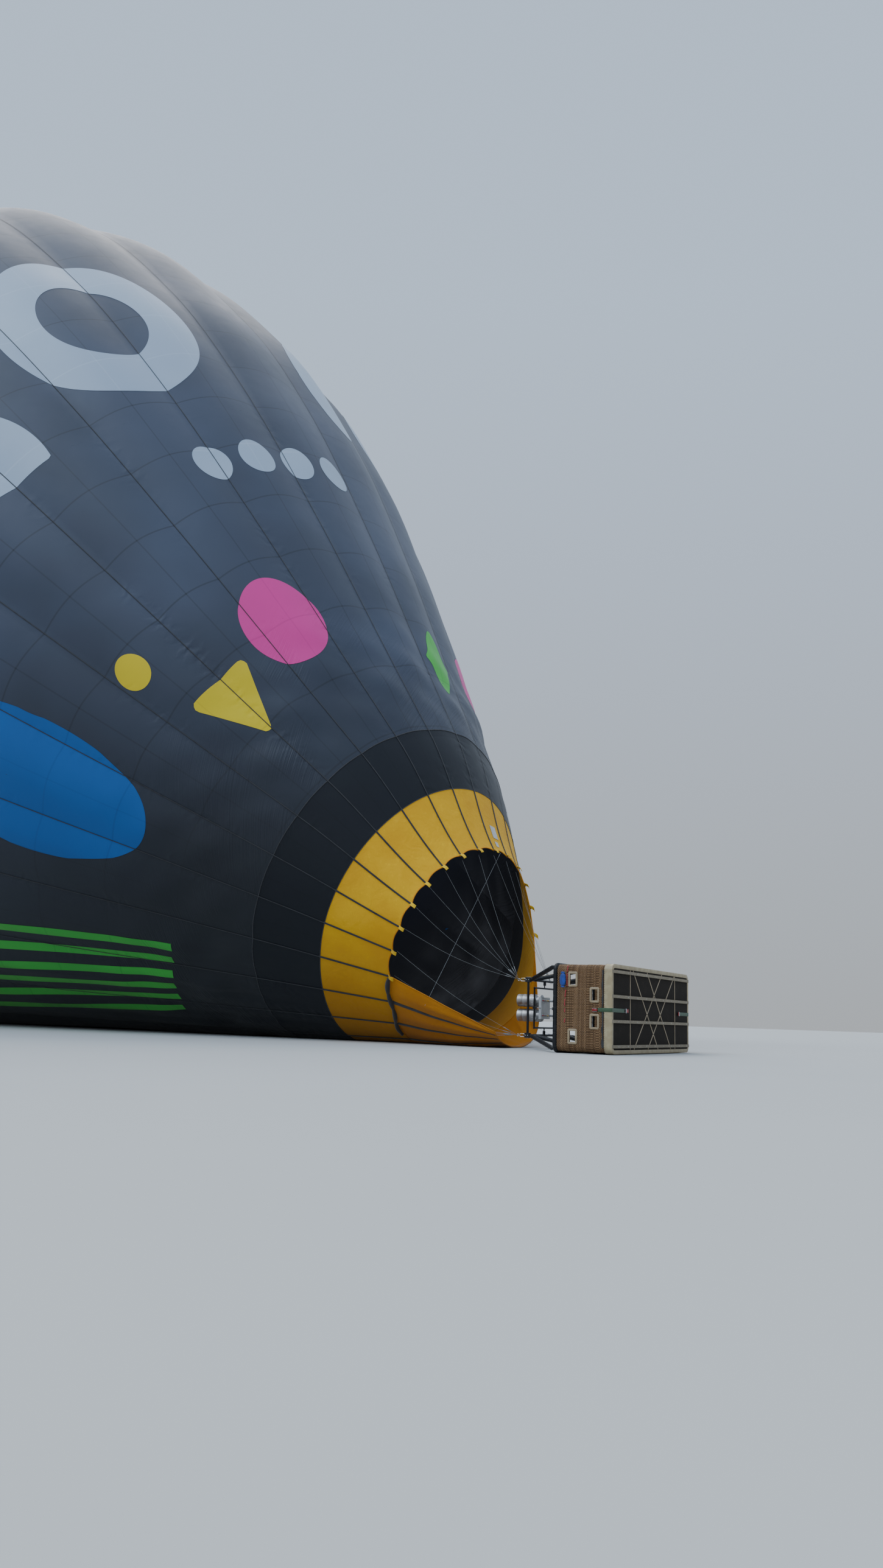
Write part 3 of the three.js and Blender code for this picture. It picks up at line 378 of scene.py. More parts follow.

# %% [markdown]
# Willow rods differ in colour from one rod to the next, so the wicker's tone comes
# from a number stored per rod, and each rod carries fine grain along itself.
# Rawhide is pale, mottled and has a thin shiny coat; the padded leather is
# black with a pebbled grain; the floor and runners are plywood and grey wood.

# %% Wicker, rawhide, leather and wood
def willow():
    rod = Finish("willow", (0.165, 0.091, 0.042), 0.55, coat=0.05)
    rod.shader.inputs["Specular IOR Level"].default_value = 0.3
    tone = rod.stored("tone")
    rod.paint(tone.fade(1.0, 0.5), (0.37, 0.225, 0.110))
    rod.paint(tone.fade(0.05, 0.5), (0.055, 0.026, 0.012))
    grain = rod.noise(60.0, 3.0, (1.0, 0.15, 1.0))
    rod.paint(grain.fade(0.46, 0.36) * 0.4, (0.14, 0.072, 0.030))
    rod.bump(grain, 0.0008, 0.4)
    return rod.material


def mottled_hide(name, color, shade, coat):
    hide = Finish(name, color, 0.5, coat=coat)
    hide.paint(hide.noise(9.0, 5.0).fade(0.6, 0.4) * 0.6, shade)
    hide.paint(hide.noise(70.0, 2.0).fade(0.42, 0.3) * 0.3, shade)
    hide.bump(hide.noise(26.0, 4.0), 0.003, 0.4)
    return hide.material


def pouch_nylon():
    nylon = Finish("blue_nylon", (0.008, 0.050, 0.30), 0.55, sheen=0.15)
    nylon.paint(nylon.noise(16.0, 3.0).fade(0.42, 0.6) * 0.6, (0.004, 0.022, 0.14))
    nylon.bump(nylon.noise(24.0, 3.0, twist=1.2), 0.006, 0.7)
    return nylon.material


def padded_leather():
    leather = Finish("black_leather", (0.008, 0.008, 0.0095), 0.5)
    leather.shader.inputs["Specular IOR Level"].default_value = 0.3
    pebbles = leather.tree.nodes.new("ShaderNodeTexVoronoi")
    pebbles.inputs["Scale"].default_value = 260.0
    leather.tree.links.new(leather.position(), pebbles.inputs["Vector"])
    grain = Field(leather.tree, pebbles.outputs["Distance"])
    creases = leather.noise(12.0, 4.0, twist=1.0)
    leather.bump(grain * 0.3 + creases, 0.005, 0.5)
    leather.paint(leather.noise(6.0, 4.0).fade(0.30, 0.42) * 0.5, (0.030, 0.028, 0.028))
    leather.roughness(leather.noise(20.0, 2.0) * 0.25 + 0.36)
    return leather.material


def aged_wood(name, color, shade, stretch, gleam):
    wood = Finish(name, color, 0.72)
    wood.shader.inputs["Specular IOR Level"].default_value = gleam
    grain = wood.noise(38.0, 5.0, stretch, 0.6)
    wood.paint(grain.fade(0.58, 0.38), shade)
    wood.paint(wood.noise(4.0, 5.0).fade(0.5, 0.36) * 0.6, shade)
    wood.bump(grain, 0.002, 0.5)
    return wood.material


willow_rods = willow()
rawhide = mottled_hide("rawhide", (0.42, 0.345, 0.205), (0.27, 0.20, 0.105), 0.1)
frame_hide = mottled_hide("frame_hide", (0.37, 0.285, 0.175), (0.24, 0.17, 0.095), 0.1)
black_leather = padded_leather()
blue_nylon = pouch_nylon()
floor_wood = aged_wood("floor_wood", (0.026, 0.019, 0.013), (0.013, 0.009, 0.006), (5.0, 0.4, 5.0), 0.12)
runner_wood = aged_wood("runner_wood", (0.36, 0.305, 0.22), (0.20, 0.165, 0.115), (6.0, 0.4, 6.0), 0.3)
print("wicker, hide, leather and wood ready")

# %% [markdown]
# ## Meshes from numbers
# Nearly every piece here is a grid of points that follows a formula, or a tube
# that follows a path. Blender can build such things by hand in Edit Mode, by
# curves with a bevel, or with geometry nodes. Plain arrays are used instead,
# because then the cloth, its tapes and its seams can share one formula exactly.

# %% Turning arrays into an object
def piece(name, points, faces, material, body="balloon", smooth=True, stored=None):
    points = np.asarray(points, dtype=np.float32).reshape(-1, 3)
    faces = np.asarray(faces, dtype=np.int32)
    mesh = bpy.data.meshes.new(name)
    mesh.vertices.add(len(points))
    mesh.vertices.foreach_set("co", points.ravel())
    mesh.loops.add(faces.size)
    mesh.loops.foreach_set("vertex_index", faces.ravel())
    mesh.polygons.add(len(faces))
    mesh.polygons.foreach_set("loop_start", np.arange(0, faces.size, faces.shape[1], dtype=np.int32))
    mesh.update(calc_edges=True)
    mesh.polygons.foreach_set("use_smooth", np.full(len(faces), smooth))
    for key, values in (stored or {}).items():
        layer = mesh.attributes.new(key, "FLOAT", "POINT")
        layer.data.foreach_set("value", np.asarray(values, dtype=np.float32).ravel())
    mesh.materials.append(material)
    made = bpy.data.objects.new(name, mesh)
    bpy.context.scene.collection.objects.link(made)
    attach(made, body)
    return made


def grid_faces(rows, columns, closed=False, flip=False):
    """Quads of a grid of points; closed joins the last column to the first."""
    i = np.arange(rows - 1)[:, None]
    j = np.arange(columns if closed else columns - 1)[None, :]
    right = (j + 1) % columns
    corners = (i * columns + j, i * columns + right, (i + 1) * columns + right, (i + 1) * columns + j)
    faces = np.stack(np.broadcast_arrays(*corners), axis=-1).reshape(-1, 4)
    return faces[:, ::-1] if flip else faces


def joined(parts):
    """Several (points, faces) become one."""
    points = []
    faces = []
    start = 0
    for part_points, part_faces in parts:
        part_points = np.asarray(part_points, dtype=float).reshape(-1, 3)
        points.append(part_points)
        faces.append(np.asarray(part_faces) + start)
        start += len(part_points)
    return np.concatenate(points), np.concatenate(faces)


def facing_out(points, faces):
    """Turns a closed part's faces over if they look inwards."""
    points = np.asarray(points, dtype=float).reshape(-1, 3)
    faces = np.asarray(faces)
    a, b, c, d = (points - points.mean(axis=0))[faces].transpose(1, 0, 2)
    volume = (a * (np.cross(b, c) + np.cross(c, d))).sum()
    return points, faces if volume > 0 else faces[:, ::-1]


def unit(vectors):
    return vectors / np.maximum(np.linalg.norm(vectors, axis=-1, keepdims=True), 1e-12)


print("mesh helpers ready")

# %% [markdown]
# A tube needs a frame that slides along its path without twisting. Each ring
# keeps the last ring's sideways direction, made square to the path again. Its
# ends are closed with a last tiny ring, so that no tube shows a hole.

# %% Tubes and rounded boxes
def tube(path, radius, sides=8, closed=False):
    path = np.asarray(path, dtype=float)
    count = len(path)
    if closed:
        forward = unit(np.roll(path, -1, axis=0) - np.roll(path, 1, axis=0))
    else:
        forward = unit(np.gradient(path, axis=0))
    start = np.eye(3)[np.argmin(np.abs(forward[0]))]
    side = unit(np.cross(forward[0], start))
    radii = np.broadcast_to(np.asarray(radius, dtype=float), (count,))
    turns = np.arange(sides) * 2 * math.pi / sides
    rings = []
    for i in range(count):
        side = unit(side - forward[i] * np.dot(side, forward[i]))
        other = np.cross(forward[i], side)
        circle = np.cos(turns)[:, None] * side + np.sin(turns)[:, None] * other
        rings.append(path[i] + circle * radii[i])
    if closed:
        rings.append(rings[0])
        return np.array(rings).reshape(-1, 3), grid_faces(count + 1, sides, closed=True)
    first = path[0] + (rings[0] - path[0]) * 0.02 - forward[0] * radii[0] * 0.15
    last = path[-1] + (rings[-1] - path[-1]) * 0.02 + forward[-1] * radii[-1] * 0.15
    rings = [first, *rings, last]
    return np.array(rings).reshape(-1, 3), grid_faces(count + 2, sides, closed=True)


def ring_points(centre, axis_a, axis_b, radius_a, radius_b=None, count=24):
    turns = np.arange(count) * 2 * math.pi / count
    wide = radius_a if radius_b is None else radius_b
    return centre + np.cos(turns)[:, None] * axis_a * radius_a + np.sin(turns)[:, None] * axis_b * wide


def block(corner_a, corner_b, bevel=0.004):
    """A box with chamfered edges between two corners in the ground frame."""
    corner_a, corner_b = placed(corner_a), placed(corner_b)
    low, high = np.minimum(corner_a, corner_b), np.maximum(corner_a, corner_b)
    bevel = min(bevel, (high - low).min() * 0.3)
    rings = []
    for depth, inset in ((0.0, bevel * 2), (0.0, bevel), (bevel, 0.0)):
        rings.append((low[0] + depth, inset))
    for depth, inset in ((bevel, 0.0), (0.0, bevel), (0.0, bevel * 2)):
        rings.append((high[0] - depth, inset))
    points = []
    for x, inset in rings:
        y0, y1 = low[1] + inset, high[1] - inset
        z0, z1 = low[2] + inset, high[2] - inset
        points += [(x, y0 + bevel, z0), (x, y1 - bevel, z0), (x, y1, z0 + bevel), (x, y1, z1 - bevel)]
        points += [(x, y1 - bevel, z1), (x, y0 + bevel, z1), (x, y0, z1 - bevel), (x, y0, z0 + bevel)]
    faces = grid_faces(len(rings), 8, closed=True).tolist()
    faces += [[0, 3, 2, 1], [0, 7, 4, 3], [7, 6, 5, 4]]
    end = (len(rings) - 1) * 8
    faces += [[end, end + 1, end + 2, end + 3], [end, end + 3, end + 4, end + 7]]
    faces += [[end + 7, end + 4, end + 5, end + 6]]
    return np.array(points), np.array(faces)


print("tubes and blocks ready")

# %% [markdown]
# ## The shape of the envelope
# The balloon is a body of revolution about a tilted axis, with 24 gores. The
# radius is a smooth curve through a few stations up to the widest place, and then
# an ellipse over the crown. Between two load tapes the cloth bulges like a
# pumpkin's rib, and underneath it lies slack on the ground.

# %% Envelope in numbers
GORES = 24
MOUTH = np.array((-4.38, 0.19, 2.36))
RISE = math.radians(31)
SWING = math.radians(7)
AXIS = np.array((-math.cos(RISE) * math.cos(SWING), math.cos(RISE) * math.sin(SWING), math.sin(RISE)))
LEVEL = np.array((math.sin(SWING), math.cos(SWING), 0.0))
ACROSS = -np.cross(AXIS, LEVEL)
STATIONS = np.array((0.0, 4.0, 8.0, 12.0, 16.0, 20.8))
RADII = np.array((2.12, 4.45, 6.91, 9.14, 10.8, 11.73))
SKIRT_END = 1.4
LOWER_END = 11.0
WIDEST = 20.8
CROWN_DEPTH = 9.15
BULGE = 0.016
GROUND_GAP = 0.014
VENT = 2.9
slopes = np.empty(6)
slopes[0] = 0.54
slopes[1:5] = (RADII[2:] - RADII[:-2]) / (STATIONS[2:] - STATIONS[:-2])
slopes[5] = 0.0


def smooth(low, high, value):
    t = np.clip((value - low) / (high - low), 0, 1)
    return t * t * (3 - 2 * t)


def radius_at(along):
    along = np.asarray(along, dtype=float)
    k = np.clip(np.searchsorted(STATIONS, along, side="right") - 1, 0, 4)
    step = STATIONS[k + 1] - STATIONS[k]
    t = (along - STATIONS[k]) / step
    body = (2 * t**3 - 3 * t**2 + 1) * RADII[k] + (t**3 - 2 * t**2 + t) * step * slopes[k]
    body = body + (3 * t**2 - 2 * t**3) * RADII[k + 1] + (t**3 - t**2) * step * slopes[k + 1]
    q = np.clip((along - WIDEST) / CROWN_DEPTH, 0, 1)
    return np.where(along > WIDEST, RADII[-1] * np.sqrt(1 - q * q), body)


def crown_along(radius):
    return WIDEST + CROWN_DEPTH * np.sqrt(1 - (radius / RADII[-1]) ** 2)


print("radius at the mouth, widest place", radius_at(0.0).round(2), radius_at(WIDEST).round(2))

# %% [markdown]
# The cloth is never as smooth as the formula. Long soft folds run up from the
# ground, and a few slack waves cross the gores above the black band, where the
# lower cloth isn't yet taut. They are sums of sines, so they are the same each run.
# The mouth isn't round either: the wires draw its far side in towards the basket.

# %% Points on the cloth
def gores_of(angle):
    return np.asarray(angle) * GORES / (2 * math.pi)


def from_bottom(angle):
    turned = np.asarray(angle) + math.pi / 2
    return np.abs(np.arctan2(np.sin(turned), np.cos(turned)))


def bare_point(along, angle):
    radius = radius_at(along)
    bulge = BULGE * smooth(1.0, 6.0, along) * np.abs(np.sin(math.pi * gores_of(angle)))
    radius = radius * (1 + bulge)
    point = MOUTH + along[..., None] * AXIS
    point = point + (radius * np.cos(angle))[..., None] * LEVEL
    return point + (radius * np.sin(angle))[..., None] * ACROSS


def sagged_point(along, angle):
    along, angle = np.broadcast_arrays(np.asarray(along, dtype=float), np.asarray(angle, dtype=float))
    point = bare_point(along, angle)
    height = bare_point(along, np.full_like(along, -math.pi / 2))[..., 2] - GROUND_GAP
    share = np.minimum(1, from_bottom(angle) / math.radians(80))
    point[..., 2] -= height * np.cos(share * math.pi / 2) ** 2 * (1 - smooth(12.0, 19.0, along))
    return drawn_in(point, along, angle)


def lobe(angle, centre, width):
    """A smooth share between 0 and 1, full at one angle and gone on the opposite side."""
    return ((1 + np.cos(angle - math.radians(centre))) / 2) ** width


def drawn_in(point, along, angle):
    """The far side of the mouth is drawn in and towards the basket, and its top lies back."""
    pull = lobe(angle, -23, 6.2) * (1 - smooth(BAND_END, LOWER_END, along))
    forward = pull * (1.40 + 0.35 * np.clip(along, 0, BAND_END))
    point = point - forward[..., None] * AXIS - (0.75 * pull)[..., None] * LEVEL
    point[..., 0] -= 0.38 * lobe(angle, 95, 1.5) * (1 - smooth(0, BAND_END, along))
    point[..., 2] = np.maximum(point[..., 2], GROUND_GAP)
    return point


def outward(along, angle):
    along, angle = np.broadcast_arrays(np.asarray(along, dtype=float), np.asarray(angle, dtype=float))
    up = sagged_point(along + 0.02, angle) - sagged_point(along - 0.02, angle)
    round_it = sagged_point(along, angle + 0.002) - sagged_point(along, angle - 0.002)
    normal = unit(np.cross(up, round_it))
    out = sagged_point(along, angle) - (MOUTH + along[..., None] * AXIS)
    return normal * np.sign(np.sum(normal * out, axis=-1, keepdims=True))


def slack(along, angle):
    """How far the cloth stands out of the formula, in metres."""
    gore = gores_of(angle)
    in_gore = np.abs(np.sin(math.pi * gore))
    low = np.exp(-(from_bottom(angle) / math.radians(52)) ** 2) * smooth(1.2, 4.0, along)
    low = low * (1 - smooth(13.0, 19.0, along))
    folds = np.sin(gore * 8.3 + 1.3 * np.sin(along * 0.62)) + 0.6 * np.sin(gore * 17.1 + along * 0.8)
    near_band = np.exp(-(((along - 4.1) / 1.3) ** 2)) * smooth(2.0, 3.4, along)
    waves = np.sin(along * 2.6 + gore * 2.3) + 0.6 * np.sin(along * 6.1 - gore * 3.9 + 1.0)
    upper = smooth(4.0, 9.0, along) * np.sin(along * 1.45 + 2.1 * np.sin(gore * 0.9))
    return 0.030 * low * folds * in_gore + 0.038 * near_band * waves * in_gore + 0.014 * upper * in_gore


def cloth_point(along, angle, lift=0.0):
    along, angle = np.broadcast_arrays(np.asarray(along, dtype=float), np.asarray(angle, dtype=float))
    point = sagged_point(along, angle) + outward(along, angle) * (slack(along, angle) + lift)[..., None]
    point[..., 2] = np.maximum(point[..., 2], GROUND_GAP + 0.002 + lift)
    return placed(point)


print("lowest tape at 8 m", cloth_point(8.0, -math.pi / 2).round(3))

# %% [markdown]
# ## Envelope cloth
# Each ring of cloth is made in four quarters of six gores, the size in which a
# loft would handle it. Every vertex stores where it is along the axis, in which
# gore, and how broad that gore is there, and the cloth's finish reads them.

# %% Sewing a ring of gores
def gore_grid(alongs, first_gore, gores, per_gore, edge=None):
    turn = 2 * math.pi / GORES
    angles = (first_gore + np.arange(gores * per_gore + 1) / per_gore) * turn
    along, angle = np.meshgrid(np.asarray(alongs, dtype=float), angles, indexing="ij")
    if edge is not None:
        along = along + edge(along, angle)
    return along, angle


def cloth_values(along, angle):
    return {
        "along": along,
        "gore": gores_of(angle),
        "breadth": 2 * math.pi * radius_at(along) / GORES,
    }


def cloth_area(points, faces):
    corners = points.reshape(-1, 3)[faces]
    one = np.cross(corners[:, 1] - corners[:, 0], corners[:, 2] - corners[:, 0])
    two = np.cross(corners[:, 2] - corners[:, 0], corners[:, 3] - corners[:, 0])
    return float((np.linalg.norm(one, axis=1) + np.linalg.norm(two, axis=1)).sum() / 2)


def sew(name, alongs, cloth, node, quarters=4, per_gore=12, edge=None):
    gores = GORES // quarters
    made = []
    for quarter in range(quarters):
        along, angle = gore_grid(alongs, quarter * gores, gores, per_gore, edge)
        points = cloth_point(along, angle)
        faces = grid_faces(*along.shape, flip=True)
        sheet_name = f"{name}_{quarter + 1}" if quarters > 1 else name
        sheet = piece(sheet_name, points, faces, cloth, stored=cloth_values(along, angle))
        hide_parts(node)
        area = cloth_area(points, faces)
        length = float(np.linalg.norm(np.diff(points[:, 0], axis=0), axis=1).sum())
        width = float(np.linalg.norm(np.diff(points, axis=1), axis=-1).sum(axis=1).max())
        made.append((sheet, width, length, area))
    print(name, "sheets", quarters, "width", round(width, 2), "length", round(length, 2))
    print("    area of the last", round(area, 1), "square metres")
    return made


lower_alongs = np.linspace(BAND_END, LOWER_END, 56)
lower_sheets = sew("lower_cloth", lower_alongs, slate_cloth, "envelope_lower")
middle_alongs = np.linspace(LOWER_END, WIDEST, 50)
middle_sheets = sew("middle_cloth", middle_alongs, slate_cloth, "envelope_middle", per_gore=10)
crown_turns = np.linspace(0.0, math.acos(VENT / RADII[-1]), 50)
crown_alongs = WIDEST + CROWN_DEPTH * np.sin(crown_turns)
top_sheets = sew("top_cloth", crown_alongs, slate_cloth, "envelope_top", per_gore=10)
band_alongs = np.linspace(SKIRT_END, BAND_END, 18)
band_sheets = sew("band_cloth", band_alongs, black_cloth, "envelope_lower_band", quarters=1)

# %% [markdown]
# The mouth's edge is cut in shallow arcs between the tape ends, so that it hangs
# taut. The arcs fade out where the scoop is sewn on.

# %% Mouth skirt
SCOOP_FROM = math.radians(210)
SCOOP_TO = math.radians(375)


def on_scoop(angle):
    turned = np.mod(angle - SCOOP_FROM, 2 * math.pi)
    return turned < SCOOP_TO - SCOOP_FROM


def mouth_arcs(along, angle):
    depth = np.where(on_scoop(angle), 0.0, 0.05)
    return depth * np.abs(np.sin(math.pi * gores_of(angle))) ** 0.8 * (1 - along / SKIRT_END)


skirt_rows = np.linspace(0.0, SKIRT_END, 18)
skirt_sheets = sew("skirt_cloth_sheet", skirt_rows, skirt_cloth, "mouth_skirt", quarters=1, edge=mouth_arcs)

# %% [markdown]
# The scoop is a trough of skirt cloth from the mouth's lower half to an open end
# by the load frame, and it guides the air in. It is a ruled surface between two
# curves, and then it is bellied between its tapes and let down onto the ground,
# because a ruled surface alone would look like sheet metal.

# %% Scoop
SCOOP_NEAR = np.array((-2.96, -1.10, 0.30))
SCOOP_FAR = np.array((-3.04, 1.15, 0.60))
ROOT_MIDDLE = MOUTH + np.array((1.2, 0.0, -0.2))
TIP_MIDDLE = np.array((-2.99, 0.0, 0.9))


def scoop_tip(t):
    turn = math.pi * (1 + t)
    share = (1 + np.cos(turn)) / 2
    point = SCOOP_NEAR + share[..., None] * (SCOOP_FAR - SCOOP_NEAR)
    rise = SCOOP_NEAR[2] + t * (SCOOP_FAR[2] - SCOOP_NEAR[2])
    point[..., 2] = GROUND_GAP + rise * (1 + np.sin(turn))
    return point


def scoop_point(v, t, lift=0.0):
    """v runs from the mouth to the open end, t from the near edge to the far edge."""
    v, t = np.broadcast_arrays(np.asarray(v, dtype=float), np.asarray(t, dtype=float))
    angle = SCOOP_FROM + t * (SCOOP_TO - SCOOP_FROM)
    root = sagged_point(np.zeros_like(t), angle)
    tip = scoop_tip(t)
    point = root + v[..., None] * (tip - root)
    gore = gores_of(angle)
    belly = np.sin(math.pi * v) ** 0.7 * np.abs(np.sin(math.pi * gore))
    creases = 0.5 * np.sin(gore * 13.0 + 3.0 * v) + 0.4 * np.sin(v * 16.0 + gore * 2.2)
    hang = np.sin(math.pi * v) * np.sin(math.pi * t) ** 0.5
    middle = ROOT_MIDDLE * (1 - v[..., None]) + TIP_MIDDLE * v[..., None]
    out = unit((point - middle) * np.array((0.0, 1.0, 1.0)))
    point = point + out * (0.045 * belly + 0.012 * creases * np.sin(math.pi * v) + lift)[..., None]
    point[..., 2] -= 0.05 * hang
    point[..., 2] = np.maximum(point[..., 2], GROUND_GAP + 0.002 + lift)
    return placed(point)


scoop_v, scoop_t = np.meshgrid(np.linspace(0.004, 1, 36), np.linspace(0, 1, 133), indexing="ij")
scoop_points = scoop_point(scoop_v, scoop_t)
scoop_faces = grid_faces(*scoop_v.shape, flip=True)
scoop_sheet = piece("scoop_sheet", scoop_points, scoop_faces, scoop_cloth, stored={"along": scoop_v * 1.6})
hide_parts("scoop")
scoop_width = float(np.linalg.norm(np.diff(scoop_points, axis=1), axis=-1).sum(axis=1).max())
scoop_length = float(np.linalg.norm(np.diff(scoop_points, axis=0), axis=-1).sum(axis=0).max())
scoop_area = cloth_area(scoop_points, scoop_faces)
print("scoop", round(scoop_width, 2), "by", round(scoop_length, 2), "m, area", round(scoop_area, 2))

# %% [markdown]
# ## Load tapes
# A flat webbing tape runs up every seam between two gores and carries the load to
# the crown. On the skirt the tapes are folded double, so they look twice as broad.
# They are thin strips a little proud of the cloth, on the cloth's own formula.

# %% Load tapes
TAPE_TURN = 2 * math.pi / GORES


def tape_strip(gore, alongs, half, lift, ridge):
    radius = radius_at(alongs)
    rows = []
    for share, up in ((-1.0, 0.0), (-0.6, 1.0), (0.6, 1.0), (1.0, 0.0)):
        angle = gore * TAPE_TURN + share * half / radius
        rows.append(cloth_point(alongs, angle, lift + ridge * up))
    return np.stack(rows, axis=1), grid_faces(len(alongs), 4, flip=True)


body_alongs = np.concatenate([np.linspace(SKIRT_END, WIDEST, 90), crown_alongs[1:]])
body_parts = [tape_strip(k, body_alongs, half=0.011, lift=0.013, ridge=0.003) for k in range(GORES)]
body_points, body_faces = joined(body_parts)
body_values = np.tile(np.repeat(body_alongs, 4), GORES)
load_tapes = piece("load_tapes", body_points, body_faces, black_webbing, stored={"along": body_values})
skirt_alongs = np.linspace(-0.02, 1.42, 14)
skirt_parts = [tape_strip(k, skirt_alongs, half=0.020, lift=0.010, ridge=0.010) for k in range(GORES)]
skirt_points, skirt_faces = joined(skirt_parts)
skirt_values = np.tile(np.repeat(skirt_alongs, 4), GORES)
skirt_tapes = piece("skirt_tapes", skirt_points, skirt_faces, black_webbing, stored={"along": skirt_values})
print("tapes", len(body_faces) + len(skirt_faces), "faces")

# %% [markdown]
# Each tape ends in a folded loop with a bright yellow tab, where its flying wire
# is shackled on. A tab is a small bent plate of cloth: a rounded block would look
# like plastic, so its strip is bent outwards and given a thickness.

# %% Tape ends
TAB_HALF = 0.036
MOUTH_RADIUS = 2.1


def tab_strip(gore):
    steps = np.linspace(-0.11, 0.05, 6)
    bend = 0.03 * np.sin((steps + 0.11) / 0.16 * math.pi)
    out = outward(0.0, gore * TAPE_TURN)
    rows = []
    for share, lift in ((-1, 0.020), (1, 0.020), (1, 0.030), (-1, 0.030)):
        angle = gore * TAPE_TURN + share * TAB_HALF / MOUTH_RADIUS
        flat = cloth_point(np.zeros(6), np.full(6, angle), 0.0)
        rows.append(flat + AXIS * steps[:, None] + out * (lift + bend)[:, None])
    ring = np.stack(rows, axis=1)
    ends = (ring[[0, -1]], np.array([[0, 1, 2, 3], [7, 6, 5, 4]]))
    return facing_out(*joined([(ring, grid_faces(6, 4, closed=True, flip=True)), ends]))


tab_gores = [k for k in range(GORES) if not on_scoop(k * TAPE_TURN)]
tab_points, tab_faces = joined([tab_strip(k) for k in tab_gores])
tape_tabs = piece("tape_tabs", tab_points, tab_faces, tab_cloth, smooth=False)
print("tabs", len(tab_gores))

# %% [markdown]
# The skirt's edges are hemmed: a rolled hem round the mouth and along the scoop's
# open end, and a darker seam where one cloth is sewn to the next. Each is a thin
# tube that follows the cloth.

# %% Hems and seams
def hem_path(angles, along, in_arcs=False):
    edge = mouth_arcs(np.zeros_like(angles), angles) if in_arcs else np.zeros_like(angles)
    return cloth_point(along + edge, angles, 0.004)


mouth_angles = np.arange(GORES * 12) * 2 * math.pi / (GORES * 12)
mouth_hem = tube(hem_path(mouth_angles, 0.0, in_arcs=True), 0.011, 6, closed=True)
skirt_seam = tube(hem_path(mouth_angles, SKIRT_END), 0.008, 6, closed=True)
band_seam = tube(hem_path(mouth_angles, BAND_END), 0.009, 6, closed=True)
scoop_hem = tube(scoop_point(np.ones(120), np.linspace(0, 1, 120), 0.003), 0.013, 6)
near_hem = tube(scoop_point(np.linspace(0, 1, 40), np.zeros(40), 0.003), 0.011, 6)
far_hem = tube(scoop_point(np.linspace(0, 1, 40), np.ones(40), 0.003), 0.011, 6)
hems = piece("skirt_hems", *joined([mouth_hem, scoop_hem, near_hem, far_hem]), scoop_cloth)
seams = piece("band_seams", *joined([skirt_seam, band_seam]), black_webbing)


def scoop_tape(gore):
    t = (gore * TAPE_TURN - SCOOP_FROM) / (SCOOP_TO - SCOOP_FROM)
    v = np.linspace(0.0, 0.995, 22)
    edges = ((-0.006, 0.004), (-0.004, 0.012), (0.004, 0.012), (0.006, 0.004))
    rows = [scoop_point(v, np.full_like(v, t + share), lift) for share, lift in edges]
    return np.stack(rows, axis=1), grid_faces(len(v), 4, flip=True)


def label(along0, degrees_from_top, half_along, half_across):
    along, across = np.meshgrid(np.linspace(-1, 1, 8), np.linspace(-1, 1, 8), indexing="ij")
    angle = math.radians(90 + degrees_from_top) + across * half_across / 2.2
    return cloth_point(along0 + along * half_along, angle, 0.008), grid_faces(8, 8, flip=True)


label_parts = [label(0.50, -8.5, 0.15, 0.10), label(0.20, -7.0, 0.06, 0.06)]
labels = piece("blank_labels", *joined(label_parts), label_cloth)
scoop_tapes = piece("scoop_tapes", *joined([scoop_tape(k) for k in range(15, 25)]), black_webbing)
print("hems, seams, labels and scoop tapes made")

# %% [markdown]
# Where the scoop meets the skirt on the near side, its spare closing strap hangs in
# loose folds. It is a tube whose radius goes in and out, so that it looks bunched.
# One thin control line also crosses the mouth, from its top to the scoop's edge.

# %% Bunched strap and control line
strap_share = np.linspace(0, 1, 90)
strap_angle = np.radians(90 + 121 + 38 * strap_share)
strap_path = cloth_point(0.02 + 0.03 * np.sin(strap_share * 9.0), strap_angle, 0.03)
strap_radius = 0.030 + 0.024 * np.abs(np.sin(strap_share * 13.0)) * (1 - 0.4 * strap_share)
bunched_strap = piece("scoop_strap", *tube(strap_path, strap_radius, 10), black_webbing)
line_top = sagged_point(0.0, math.radians(83))
line_foot = scoop_point(0.35, 0.04, 0.02) - TO_MODEL
line_share = np.linspace(0, 1, 24)[:, None]
line_path = line_top + line_share * (line_foot - line_top)
piece("mouth_line", *tube(placed(line_path), 0.002, 6), label_cloth)
print("bunched strap", round(float(np.linalg.norm(np.diff(strap_path, axis=0), axis=1).sum()), 2), "m long")

# %% [markdown]
# ## Motifs
# Coloured pieces of cloth are sewn onto the body: plain shapes in the balloon's
# own colours. A motif could be painted in the shader, but then its edge is only as
# sharp as the mesh. Here each one is its own patch, 4 mm proud, whose outline is
# given as a distance from its centre in every direction. Its mesh is fine enough to
# follow the valley at each tape, or else the patch would bridge it.

# %% Sewn-on shapes
PATCH_GRAIN = 0.062
PATCH_LIFT = 0.004
FLANKS = (("near", 1), ("far", -1))


